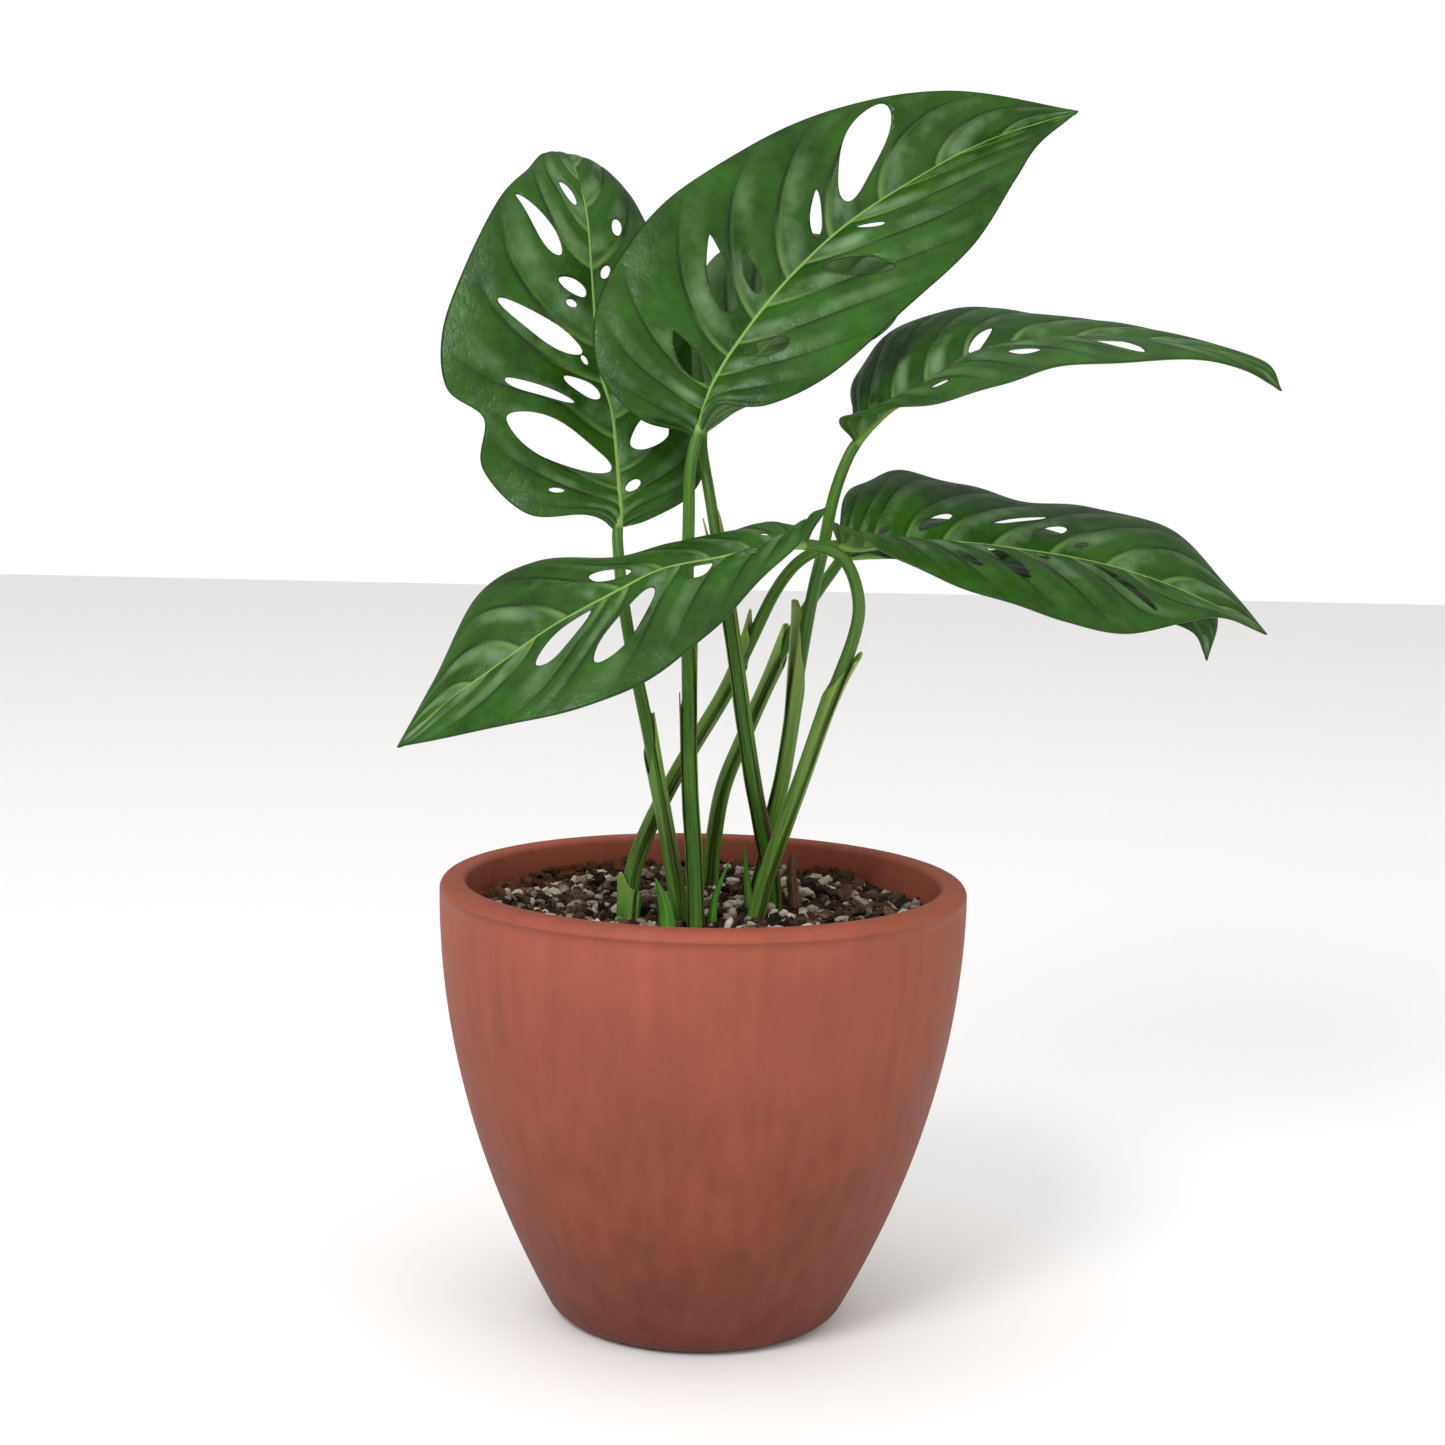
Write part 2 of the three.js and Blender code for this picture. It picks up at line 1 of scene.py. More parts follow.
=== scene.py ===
# %% [markdown]
# # A potted Swiss cheese plant
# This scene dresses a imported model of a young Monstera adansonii: perforated leaves on
# arching petioles, planted in bark and perlite in a round clay pot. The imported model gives
# every size. This script adds what the eye looks for: quilted blades with sunken side
# veins, papery sheaths, loose bark, and a soft studio light.

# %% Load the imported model
import math
import bmesh
import bpy
import numpy as np
from mathutils import Matrix, Vector


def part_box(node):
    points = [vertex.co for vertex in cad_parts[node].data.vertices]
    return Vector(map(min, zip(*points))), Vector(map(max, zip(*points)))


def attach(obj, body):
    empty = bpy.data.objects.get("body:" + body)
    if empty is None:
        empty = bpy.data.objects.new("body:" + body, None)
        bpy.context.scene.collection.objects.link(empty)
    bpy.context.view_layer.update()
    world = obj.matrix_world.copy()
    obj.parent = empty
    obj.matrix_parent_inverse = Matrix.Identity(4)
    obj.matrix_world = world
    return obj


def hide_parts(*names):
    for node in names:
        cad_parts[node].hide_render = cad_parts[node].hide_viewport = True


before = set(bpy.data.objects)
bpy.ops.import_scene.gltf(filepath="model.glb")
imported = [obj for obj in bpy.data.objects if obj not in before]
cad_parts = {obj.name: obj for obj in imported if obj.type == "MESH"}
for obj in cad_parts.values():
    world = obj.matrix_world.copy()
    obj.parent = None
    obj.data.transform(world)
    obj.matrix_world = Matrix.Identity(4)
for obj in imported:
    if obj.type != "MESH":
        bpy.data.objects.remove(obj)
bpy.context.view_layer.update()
pot_low, pot_high = (Vector(corner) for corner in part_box("pot"))

# %% [markdown]
# ## Sizes
# The pot's box gives its rim and height. Wall, lip and depth of the mix are the same few
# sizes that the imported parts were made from. Everything is in metres, and MM keeps the
# small numbers readable.

# %% Sizes from the frame
MM = 0.001
RIM_RADIUS = (pot_high.x - pot_low.x) / 2
POT_HEIGHT = pot_high.z
POT_WALL = 8.5 * MM
POT_FLOOR = 9 * MM
FOOT_RADIUS = 40 * MM
FOOT_ROUND = 10 * MM
LIP_OUTER_ROUND = 3.5 * MM
LIP_INNER_ROUND = 2 * MM
DRAIN_RADIUS = 4 * MM
DRAIN_CIRCLE = 24 * MM
SOIL_TOP = POT_HEIGHT - 12 * MM
SOIL_WAVE = 1.6 * MM
SOIL_BACK_RISE = 2.5 * MM
print("rim radius", round(RIM_RADIUS, 4), "pot height", round(POT_HEIGHT, 4))

# %% [markdown]
# ## Small helpers
# Colours are written as the hex values a paint program shows, and Blender wants linear
# light, so one function converts them. One function adds a shader node with its settings
# and links. The last ones turn a finished bmesh into a mesh, and a mesh into an object that
# rides on the pot.

# %% Colour, node and object helpers
def linear(code):
    channels = [int(code[i:i + 2], 16) / 255 for i in (1, 3, 5)]
    steps = [c / 12.92 if c <= 0.04045 else ((c + 0.055) / 1.055) ** 2.4 for c in channels]
    return (*steps, 1.0)


def add(tree, kind, links=None, values=None, **settings):
    node = tree.nodes.new(kind)
    for name, value in settings.items():
        setattr(node, name, value)
    for socket, value in (values or {}).items():
        node.inputs[socket].default_value = value
    for socket, source in (links or {}).items():
        tree.links.new(source, node.inputs[socket])
    return node


def new_material(name, **values):
    material = bpy.data.materials.new(name)
    material.use_nodes = True
    shader = material.node_tree.nodes["Principled BSDF"]
    for socket, value in values.items():
        shader.inputs[socket.replace("_", " ")].default_value = value
    return material, material.node_tree, shader


def as_mesh(name, bm):
    mesh = bpy.data.meshes.new(name)
    bm.to_mesh(mesh)
    bm.free()
    return mesh


def finished(name, mesh, materials, slot, *nodes, smooth=True):
    mesh.polygons.foreach_set("use_smooth", [smooth] * len(mesh.polygons))
    for material in materials:
        mesh.materials.append(material)
    piece = bpy.data.objects.new(name, mesh)
    bpy.context.scene.collection.objects.link(piece)
    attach(piece, "root")
    if nodes:
        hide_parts(*nodes)
    print(name, len(mesh.vertices), "points", len(mesh.polygons), "faces")
    return piece


# %% [markdown]
# ## The camera
# A short telephoto looks slightly down on the pot from the front, at about twice the
# plant's height away, so the rim shows as a flat ellipse and the mix is just visible.

# %% Camera
SENSOR_WIDTH = 36
FOCAL_LENGTH = 63.84
CAMERA_PLACE = (5 * MM, -815.7 * MM, 301.8 * MM)
LOOK_DOWN = 7.49  # degrees
CAMERA_ROLL = 1.23

camera_data = bpy.data.cameras.new("camera")
camera_data.sensor_width = SENSOR_WIDTH
camera_data.lens = FOCAL_LENGTH
camera = bpy.data.objects.new("camera", camera_data)
bpy.context.scene.collection.objects.link(camera)
camera.matrix_world = (
    Matrix.Translation(CAMERA_PLACE)
    @ Matrix.Rotation(math.radians(90 - LOOK_DOWN), 4, "X")
    @ Matrix.Rotation(math.radians(CAMERA_ROLL), 4, "Z"))
bpy.context.scene.camera = camera
print("camera at", [round(c, 3) for c in camera.matrix_world.translation])

# %% [markdown]
# ## Curves through a few points
# A blade hangs on three rails that share their stations: the midrib and the two margins.
# A petiole is one rail. Each rail is a smooth Catmull-Rom curve through a few points in
# millimetres from the middle of the mix's surface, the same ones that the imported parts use.

# %% A smooth curve, worked out for many places at once
SOIL_CENTRE = np.array([0, 0, SOIL_TOP])


def rail(points):
    return np.array(points, float) * MM + SOIL_CENTRE


def smooth_curve(points, share):
    spans = len(points) - 1
    place = np.atleast_1d(share) * spans
    first = np.clip(np.floor(place).astype(int), 0, spans - 1)
    t = (place - first)[:, None]
    padded = np.vstack([2 * points[0] - points[1], points, 2 * points[-1] - points[-2]])
    before, a, b, after = (padded[first + i] for i in range(4))
    leave, arrive = (b - before) / 2, (after - a) / 2
    return (a + leave * t + (3 * (b - a) - 2 * leave - arrive) * t ** 2
            + (2 * (a - b) + leave + arrive) * t ** 3)


def unit(vectors):
    return vectors / np.maximum(np.linalg.norm(vectors, axis=1, keepdims=True), 1e-12)


def step_lengths(places):
    return np.linalg.norm(np.diff(places, axis=0), axis=1)


# %% [markdown]
# ## The seven leaves
# midrib runs from the blade's base to its tip; left and right are the margins without the
# ends. A hole is [along, across, length, width, lean, swell] in the blade laid flat: it leans
# towards the tip between two side veins, and swell widens its outer end. sheath is
# [top, facing, slit, flap, flare]: how far up the petiole it reaches, the side its opening
# faces (0 right, 90 back, 270 front), half the angle that stays open between its two edges,
# the side its highest flap stands on, and how many millimetres the flap stands off.

# %% Leaf shapes
LEAVES = {
    "back_left": dict(
        midrib=[[-30, 6, 123], [-29, 9, 129], [-30, 13, 137], [-31, 17, 147], [-33, 21, 161],
                [-37, 24, 173], [-39, 27, 188], [-41, 31, 208], [-43, 37, 225], [-47, 44, 238],
                [-51, 56, 245], [-48, 78, 232]],
        left=[[-39, 2, 128], [-58, -1, 128], [-73, 2, 142], [-73, 4, 158], [-85, 6, 167],
              [-87, 10, 185], [-81, 17, 205], [-71, 27, 228], [-63, 38, 238], [-57, 54, 245]],
        right=[[-22, 14, 126], [-9, 20, 132], [-3, 28, 142], [-2, 36, 157], [-2, 42, 173],
               [-4, 46, 190], [-8, 50, 206], [-21, 54, 218], [-30, 60, 233], [-39, 66, 240]],
        holes=[[125, 6, 8.5, 3.6, 28, -0.1], [114.5, 17.5, 20, 5, 43, -0.4],
               [117, -10.5, 6.5, 4, 25], [103, -4.5, 4, 2.6, 42],
               [99.5, 7.5, 10.5, 3.6, 72, -0.2], [95.5, 8.5, 4, 1.8, 80],
               [89.5, 19.5, 31, 6.2, 61, -0.3], [79.5, 5.5, 3.7, 2.2, 35],
               [69, 23.5, 23.5, 4.4, 58, 0.1], [69.5, 8.5, 14, 6.8, 49, -0.3],
               [49, 19.5, 40, 12, 58], [34.5, 22.5, 5.5, 1.8, 73],
               [53.5, -11.5, 17, 8.5, 52, 0.2], [31, -4.5, 8, 3.6, 32]],
        petiole=[[-7, -15, 0], [-9, -14, 13], [-13, -12, 34], [-18, -9, 58], [-23, -4, 79],
                 [-27, 0, 98], [-29, 3, 112]],
        sheath=[0.55, 285, 14, 40, 0.3]),
    "front": dict(
        midrib=[[-5, -3, 154], [-3, -1, 163], [1, 3, 173], [9, 9, 186], [22, 18, 203],
                [40, 28, 221], [61, 36, 236], [87, 44, 251], [118, 48, 262]],
        left=[[-23, -10, 159], [-37, -9, 176], [-35, 2, 201], [-17, 14, 227], [9, 27, 246],
              [38, 36, 260], [76, 42, 267]],
        right=[[3, -8, 164], [17, -8, 164], [38, -2, 175], [60, 8, 195], [82, 18, 216],
               [96, 28, 238], [104, 38, 250]],
        holes=[[130.5, 16, 32, 10.5, 41, 0.1], [110, 8.5, 14.5, 3.4, 50, -0.4],
               [113.5, -8, 8.5, 2.4, 80, 0.3], [98.5, -17.5, 21, 6.5, 82, -0.3],
               [80, 17.5, 25.5, 6.2, 52, -0.6], [85.5, 10, 14, 4, 60, -0.5],
               [49, 10.5, 26, 7.2, 44, -0.4], [64.5, -9, 15, 7, 44, 0.4]],
        petiole=[[-2, -21, 0], [-3, -18, 20], [-5, -13, 45], [-6, -9, 74], [-7, -7, 102],
                 [-7, -6, 128], [-7, -5, 143]],
        sheath=[0.58, 270, 62, 350, 0.5]),
    "right_upper": dict(
        midrib=[[45, 2, 152], [49, 2, 157], [56, 3, 164], [66, 4, 170], [79, 6, 180],
                [93, 7, 185], [113, 6, 187], [136, 4, 187], [157, 0, 184], [170, -3, 179],
                [178, -6, 172]],
        left=[[45, 20, 162], [46, 30, 174], [55, 37, 186], [71, 42, 195], [89, 43, 197],
              [112, 41, 194], [135, 31, 191], [158, 16, 186], [174, 2, 181]],
        right=[[40, -10, 160], [51, -20, 163], [61, -28, 165], [75, -33, 168], [89, -34, 173],
               [106, -32, 178], [129, -24, 180], [152, -12, 181], [166, -8, 178]],
        holes=[[67.5, 5, 13, 4.6, 44, -0.3], [79.5, -25.5, 10, 5.5, 40, 0.2],
               [54.5, -27, 6, 3.4, 20, 0.2], [99, -18.5, 17, 6, 33]],
        petiole=[[17, 20, 0], [20, 18, 14], [22, 16, 28], [25, 14, 43], [27, 12, 58],
                 [29, 10, 76], [33, 5, 104], [36, 2, 119], [38, 1, 132], [41, 1, 143]],
        sheath=[0.63, 225, 14, 180, 3.4]),
    "right_middle": dict(
        midrib=[[40, -8, 121], [46, -7, 120], [54, -5, 121], [64, -3, 122], [79, 0, 122],
                [99, 2, 120], [120, 3, 117], [140, 2, 112], [161, 0, 104], [178, -2, 95]],
        left=[[42, 13, 133], [50, 25, 140], [63, 34, 143], [83, 40, 139], [103, 43, 134],
              [126, 43, 132], [152, 38, 126], [168, 17, 109]],
        right=[[38, -18, 128], [45, -25, 125], [53, -30, 121], [70, -34, 113], [89, -36, 107],
               [109, -36, 101], [129, -32, 97], [159, -12, 101]],
        holes=[[35, 5, 6.5, 2, 15], [56, 8.5, 13.5, 4, 39], [79, 16.5, 18.5, 2.2, 41],
               [86.5, 11, 12, 4.4, 52, 0.2], [94.5, 6.5, 4, 1.6, 53],
               [69.5, -21.5, 11.5, 3, 53, 0.1], [78, -16.5, 27, 4.4, 60, 0.2],
               [85.5, -6.5, 10, 2.6, 70], [106.5, -13.5, 28, 4, 47],
               [113.5, -4, 9.5, 1.8, 53]],
        petiole=[[-24, -7, 0], [-23, -5, 13], [-18, -2, 28], [-8, 2, 48], [5, 9, 70],
                 [14, 9, 89], [21, 3, 105], [29, -5, 116]],
        sheath=[0.71, 285, 14, 170, 2.0]),
    "left_lower": dict(
        midrib=[[29, -28, 122], [24, -32, 122], [15, -37, 121], [2, -43, 118], [-14, -49, 115],
                [-28, -54, 108], [-46, -58, 98], [-61, -62, 87], [-77, -65, 75],
                [-91, -67, 62]],
        left=[[35, -42, 134], [27, -53, 125], [13, -65, 111], [0, -75, 98], [-16, -83, 86],
              [-34, -87, 78], [-56, -84, 72], [-77, -75, 66]],
        right=[[28, -22, 127], [21, -17, 128], [6, -16, 125], [-13, -18, 120], [-33, -21, 116],
               [-54, -26, 115], [-71, -36, 104], [-82, -53, 80]],
        holes=[[79.5, -10, 14, 6.3, 43, 0.1], [80.5, 17.5, 27, 8.5, 42],
               [95, 9, 20, 7.4, 38, 0.4], [56, 7.5, 12.5, 5.5, 44, 0.2],
               [39.5, 6.5, 7.5, 4, 62], [32, -7, 5.5, 1.8, 22]],
        petiole=[[17, -6, 0], [20, -6, 13], [25, -7, 29], [31, -8, 47], [36, -10, 63],
                 [41, -12, 78], [45, -15, 90], [47, -18, 101], [45, -21, 111], [41, -24, 118],
                 [35, -27, 121]],
        sheath=[0.57, 295, 14, 0, 1.4]),
    "right_lower": dict(
        midrib=[[44, 16, 116], [52, 21, 116], [65, 27, 116], [82, 32, 114], [103, 35, 112],
                [123, 36, 109], [143, 35, 105], [155, 32, 101], [163, 30, 92], [165, 28, 83]],
        left=[[49, 36, 121], [60, 50, 125], [78, 60, 126], [102, 66, 125], [125, 66, 121],
              [146, 60, 116], [162, 50, 109], [170, 40, 97]],
        right=[[52, 10, 117], [63, 8, 116], [80, 8, 112], [100, 8, 108], [119, 9, 103],
               [138, 12, 99], [151, 20, 96], [160, 25, 92]],
        holes=[[58, 12, 15, 5, 50], [78, -13, 16, 5, 50], [92, 14, 14, 4, 48]],
        petiole=[[2, 45, 4], [3, 44, 18], [6, 40, 36], [13, 35, 55], [20, 30, 73],
                 [26, 26, 87], [33, 22, 100], [40, 18, 111]],
        sheath=[0.7, 270, 14, 160, 1.2]),
    "behind_front": dict(
        midrib=[[-4, 22, 153], [-1, 23, 161], [6, 26, 170], [16, 31, 182], [29, 37, 193],
                [44, 43, 202], [58, 48, 207], [71, 51, 210]],
        left=[[-7, 26, 163], [-8, 32, 183], [-5, 40, 206], [9, 48, 218], [31, 54, 221],
              [54, 56, 217]],
        right=[[8, 18, 162], [19, 18, 167], [32, 21, 175], [45, 27, 182], [56, 34, 189],
               [62, 42, 197]],
        holes=[[45, 12, 13, 4.5, 52], [60, -8, 10, 4, 52]],
        petiole=[[23, 9, 0], [22, 7, 12], [19, 5, 26], [16, 3, 40], [13, 1, 57], [10, 0, 76],
                 [6, 4, 100], [2, 12, 120], [-1, 17, 136]],
        sheath=[0.87, 250, 55, 250, 0.8]),
}
print(len(LEAVES), "leaves,", sum(len(leaf["holes"]) for leaf in LEAVES.values()), "holes")

# %% [markdown]
# ## Leaf finishes
# The upper side is a waxy cuticle over dark green tissue: a clear, slightly rough gloss,
# with patches of painted grey-green sheen on one side of each panel. The underside has no
# wax gloss and is paler and more olive, and it carries the same painted sheen. Side veins
# start pale at the midrib and go on as thin dark lines of painted shade in their grooves,
# with a painted highlight along one side; the valleys beside the veins get painted shade too.
# Three attributes on the mesh carry them, so the pattern follows the blade: panel is the
# sine and cosine of the way from one vein to the next and the spacing that turns the sine
# into millimetres, reach is 0 at the midrib and 1 at the margin, and edge is how many
# millimetres away the margin or the nearest hole's rim is.

# %% Blade materials
VEIN_LINE = (0.8, 0.25)  # mm from a vein's middle where its line ends, and where it is full
MARGIN_LINE = (0.7, 0.2)
PATCH_SIZE = 22 * MM
SHEEN_PATCH_SIZE = 13 * MM
PUCKER_SIZE = 6 * MM
NET_SIZE = 1.7 * MM  # the mesh of the smallest veins, drawn coarse enough to show


def blade_material(name, deep, mid, pale, groove_shade_and_edge_line, painted_sheen, roughness):
    material, tree, shader = new_material(name, IOR=1.4, Specular_IOR_Level=0.4)
    place = add(tree, "ShaderNodeTexCoord").outputs["Object"]
    panel = add(tree, "ShaderNodeAttribute", attribute_name="panel").outputs["Vector"]
    split = add(tree, "ShaderNodeSeparateXYZ", {"Vector": panel})
    sine, cosine = split.outputs["X"], split.outputs["Y"]
    reach = add(tree, "ShaderNodeAttribute", attribute_name="reach").outputs["Fac"]
    edge = add(tree, "ShaderNodeAttribute", attribute_name="edge").outputs["Fac"]
    patch = add(tree, "ShaderNodeTexNoise", {"Vector": place},
                {"Scale": 1 / PATCH_SIZE, "Detail": 6.0, "Roughness": 0.65}).outputs["Fac"]
    sheen_patch = add(tree, "ShaderNodeTexNoise", {"Vector": place},
                {"Scale": 1 / SHEEN_PATCH_SIZE, "Detail": 3.0}).outputs["Fac"]
    pucker = add(tree, "ShaderNodeTexNoise", {"Vector": place},
                 {"Scale": 1 / PUCKER_SIZE, "Detail": 3.0}).outputs["Fac"]
    offset = add(tree, "ShaderNodeMath", {0: sine, 1: split.outputs["Z"]},
                 operation="MULTIPLY").outputs["Value"]
    distance = add(tree, "ShaderNodeMath", {0: offset}, operation="ABSOLUTE").outputs["Value"]
    tissue = add(tree, "ShaderNodeMapRange", {"Value": patch}, {"From Min": 0.3, "From Max": 0.7})
    colour = add(tree, "ShaderNodeMix", {"Factor": tissue.outputs["Result"]},
                 {"A": linear(deep), "B": linear(mid)}, data_type="RGBA").outputs["Result"]
    # A coat is a colour, its full strength, and the masks that thin it out. A mask is a
    # value, where the coat begins, and where it is full.
    at_vein = (cosine, 0.0, 0.4)
    coats = (
        # painted sheen: grey-green patches on one side of each panel, strongest near the midrib
        (painted_sheen, 0.65, [(sheen_patch, 0.38, 0.68), (sine, -0.3, 0.9), (reach, 1.0, 0.2)]),
        # painted shade in the low valleys beside each side vein
        (groove_shade_and_edge_line, 0.4, [(cosine, 0.5, 1.0), (reach, 0.9, 0.3)]),
        # painted highlight: a pale band along one side of each vein's groove
        (pale, 0.22, [(offset, 0.2, 0.7), (offset, 1.5, 0.7), at_vein, (reach, 0.8, 0.1)]),
        # painted shade: a thin dark line down each vein's groove
        (groove_shade_and_edge_line, 0.7, [(distance, *VEIN_LINE), at_vein, (reach, 0.15, 0.4), (reach, 1.0, 0.6)]),
        (pale, 0.45, [(distance, *VEIN_LINE), at_vein, (reach, 0.4, 0.1)]),
        (groove_shade_and_edge_line, 0.6, [(edge, *MARGIN_LINE)]),
    )
    for code, strength, masks in coats:
        thinned = {}
        for value, begins, full in masks:
            mask = add(tree, "ShaderNodeMapRange", {"Value": value, **thinned},
                       {"From Min": begins, "From Max": full, "To Max": strength})
            thinned = {"To Max": mask.outputs["Result"]}
        colour = add(tree, "ShaderNodeMix", {"Factor": mask.outputs["Result"], "A": colour},
                     {"B": linear(code)}, data_type="RGBA").outputs["Result"]
    tree.links.new(colour, shader.inputs["Base Color"])
    rough = add(tree, "ShaderNodeMapRange", {"Value": pucker},
                {"From Min": 0.3, "From Max": 0.7,
                 "To Min": roughness - 0.06, "To Max": roughness + 0.1})
    tree.links.new(rough.outputs["Result"], shader.inputs["Roughness"])
    cells = add(tree, "ShaderNodeTexVoronoi", {"Vector": place}, {"Scale": 1 / NET_SIZE},
                feature="DISTANCE_TO_EDGE")
    ridge = add(tree, "ShaderNodeMapRange", {"Value": cells.outputs["Distance"]},
                {"From Max": 0.25})
    net = add(tree, "ShaderNodeBump", {"Height": ridge.outputs["Result"]},
              {"Strength": 0.3, "Distance": 0.1 * MM})
    soft = add(tree, "ShaderNodeBump", {"Height": pucker, "Normal": net.outputs["Normal"]},
               {"Strength": 0.5, "Distance": 1.2 * MM})
    tree.links.new(soft.outputs["Normal"], shader.inputs["Normal"])
    return material


leaf_top = blade_material("waxy_leaf_top", "#173805", "#31600d", "#7fa652", "#0f2406",
                          "#7c9b72", 0.36)
# painted sheen: a paler, greyer copy of the top finish for the leaf half hidden behind the front
# one
painted_sheen_leaf_top = blade_material("pale_painted_sheen_leaf_top", "#44682f", "#668a4d", "#93b06a",
                                "#2c4a1c", "#93a98a", 0.4)
# the underside gets the same painted sheen patches
leaf_under = blade_material("olive_leaf_underside", "#3d6126", "#5c823a", "#93ad62",
                            "#33521e", "#7f9a70", 0.58)
leaf_margin, _, _ = new_material("leaf_margin", Base_Color=linear("#33501c"), Roughness=0.5)
print("blade materials made")

# %% [markdown]
# ## Blades
# A real blade is a flat sheet that grew holes between its side veins, then bent. It is
# made the same way: a grid is narrowed to the leaf's outline, the egg-shaped holes are
# punched while it is flat, and only then is it laid on its three rails. The quilting
# between the veins is real relief, because raking studio light shows it.

# %% Punching holes in the flat blade
BLADE_ROWS = 132
BLADE_COLUMNS = 84
BLADE_CAMBER = 0.08
BLADE_THICKNESS = 0.5 * MM
RIPPLE_HEIGHT = 0.8 * MM
RIPPLE_WAVES = 38  # radians of ripple from the base to the tip
HOLE_SIDES = 48
RIM_WAVE = 0.07  # a long hole's rim wanders by this share of its width
LONG_HOLE = 20  # mm
CUTTER_DEPTH = 10 * MM
WELD = 1e-6


def half_width(rails, share, side):
    middle = smooth_curve(rails["midrib"], share)
    left = np.linalg.norm(smooth_curve(rails["left"], share) - middle, axis=1)
    right = np.linalg.norm(smooth_curve(rails["right"], share) - middle, axis=1)
    return np.where(side < 0, right, left)


def coordinates(mesh):
    flat = np.empty(len(mesh.vertices) * 3)
    mesh.vertices.foreach_get("co", flat)
    return flat.reshape(-1, 3)


def hole_cutter(holes):
    bm = bmesh.new()
    for along, across, length, width, lean, *swell in holes:
        ring = bmesh.ops.create_circle(bm, segments=HOLE_SIDES, radius=1, cap_ends=True)["verts"]
        for vertex in ring:
            angle = math.atan2(vertex.co.y, vertex.co.x)
            wave = 1 + RIM_WAVE * math.sin(3 * angle + along) * min(length / LONG_HOLE, 1)
            vertex.co.y *= (1 + sum(swell) * vertex.co.x) * wave
        turn = math.radians(lean) * math.copysign(1, across)
        bmesh.ops.transform(bm, verts=ring, matrix=(
            Matrix.Translation((along * MM, across * MM, -CUTTER_DEPTH / 2))
            @ Matrix.Rotation(turn, 4, "Z")
            @ Matrix.Diagonal((length / 2 * MM, width / 2 * MM, 1, 1))))
    raised = bmesh.ops.extrude_face_region(bm, geom=bm.faces[:])["geom"]
    tops = [item for item in raised if isinstance(item, bmesh.types.BMVert)]
    bmesh.ops.translate(bm, verts=tops, vec=(0, 0, CUTTER_DEPTH))
    bmesh.ops.recalc_face_normals(bm, faces=bm.faces)
    return as_mesh("cutter", bm)


def punched(mesh, cutter_mesh):
    sheet = bpy.data.objects.new("sheet", mesh)
    cutter = bpy.data.objects.new("cutter", cutter_mesh)
    for item in (sheet, cutter):
        bpy.context.scene.collection.objects.link(item)
    punch = sheet.modifiers.new("holes", "BOOLEAN")
    punch.operation = "DIFFERENCE"
    punch.solver = "EXACT"
    punch.object = cutter
    graph = bpy.context.evaluated_depsgraph_get()
    result = bpy.data.meshes.new_from_object(sheet.evaluated_get(graph))
    bpy.data.objects.remove(sheet)
    bpy.data.objects.remove(cutter)
    return result


def flat_blade(rails, length, holes):
    bm = bmesh.new()
    bmesh.ops.create_grid(bm, x_segments=BLADE_ROWS, y_segments=BLADE_COLUMNS, size=1)
    grid = np.array([vertex.co for vertex in bm.verts])
    share, side = (grid[:, 0] + 1) / 2, grid[:, 1]
    across = side * half_width(rails, share, side)
    for vertex, x, y in zip(bm.verts, share * length, across):
        vertex.co = (x, y, 0)
    bmesh.ops.remove_doubles(bm, verts=bm.verts, dist=WELD)
    return punched(as_mesh("flat", bm), hole_cutter(holes))


# %% [markdown]
# ## Side veins
# Side veins leave the midrib at equal steps and sweep towards the tip, and every hole
# lies between two of them. So each vein starts at an even step and is nudged off any hole
# that it would run into.

# %% Side veins and quilting
VEIN_STEP = 0.098  # of the blade's length
VEIN_SWEEP = 0.22
FIRST_VEIN = {1: 0.02, -1: 0.055}  # the two sides' veins leave the midrib in turn
HOLE_ROOM = 0.008
STEEPEST_LEAN = 75
VEIN_SLANT = 0.8  # a slanting strip is narrower than the step along the midrib
QUILT_HEIGHT = 0.6 * MM
GROOVE_DEPTH = 0.28 * MM
GROOVE_WIDTH = 1.0 * MM


def vein_phase(share, side):
    return share - VEIN_SWEEP * np.abs(side) ** 1.3


def hole_phases(rails, length, holes, sign):
    for along, across, _, width, lean, *_ in holes:
        if across * sign > 0:
            share = along * MM / length
            side = across * MM / half_width(rails, np.array([share]), np.array([sign]))[0]
            slope = math.sin(math.radians(min(lean, STEEPEST_LEAN)))
            yield float(vein_phase(share, side)), width / 2 * MM / length / slope + HOLE_ROOM


def side_veins(rails, length, holes, sign):
    phases = list(hole_phases(rails, length, holes, sign))
    starts = []
    for step in range(-2, 11):
        start = FIRST_VEIN[sign] + step * VEIN_STEP
        for phase, reach in phases:
            if abs(start - phase) < reach:
                start = phase + math.copysign(reach, start - phase)
        starts.append(start)
    starts.sort()
    kept = [starts[0]]
    for start in starts[1:]:
        if start - kept[-1] > 0.4 * VEIN_STEP:
            kept.append(start)
    return np.array(kept)


def hole_distance(along, across, holes):
    nearest = np.full(len(along), 1.0)
    for hole_along, hole_across, length, width, lean, *_ in holes:
        turn = math.radians(lean) * math.copysign(1, hole_across)
        x, y = along - hole_along * MM, across - hole_across * MM
        lengthwise = x * math.cos(turn) + y * math.sin(turn)
        sideways = -x * math.sin(turn) + y * math.cos(turn)
        reach = np.hypot(lengthwise / (length / 2), sideways / (width / 2)) / MM
        size = np.hypot(lengthwise, sideways)
        nearest = np.minimum(nearest, np.abs(size - size / np.maximum(reach, 1e-6)))
    return nearest


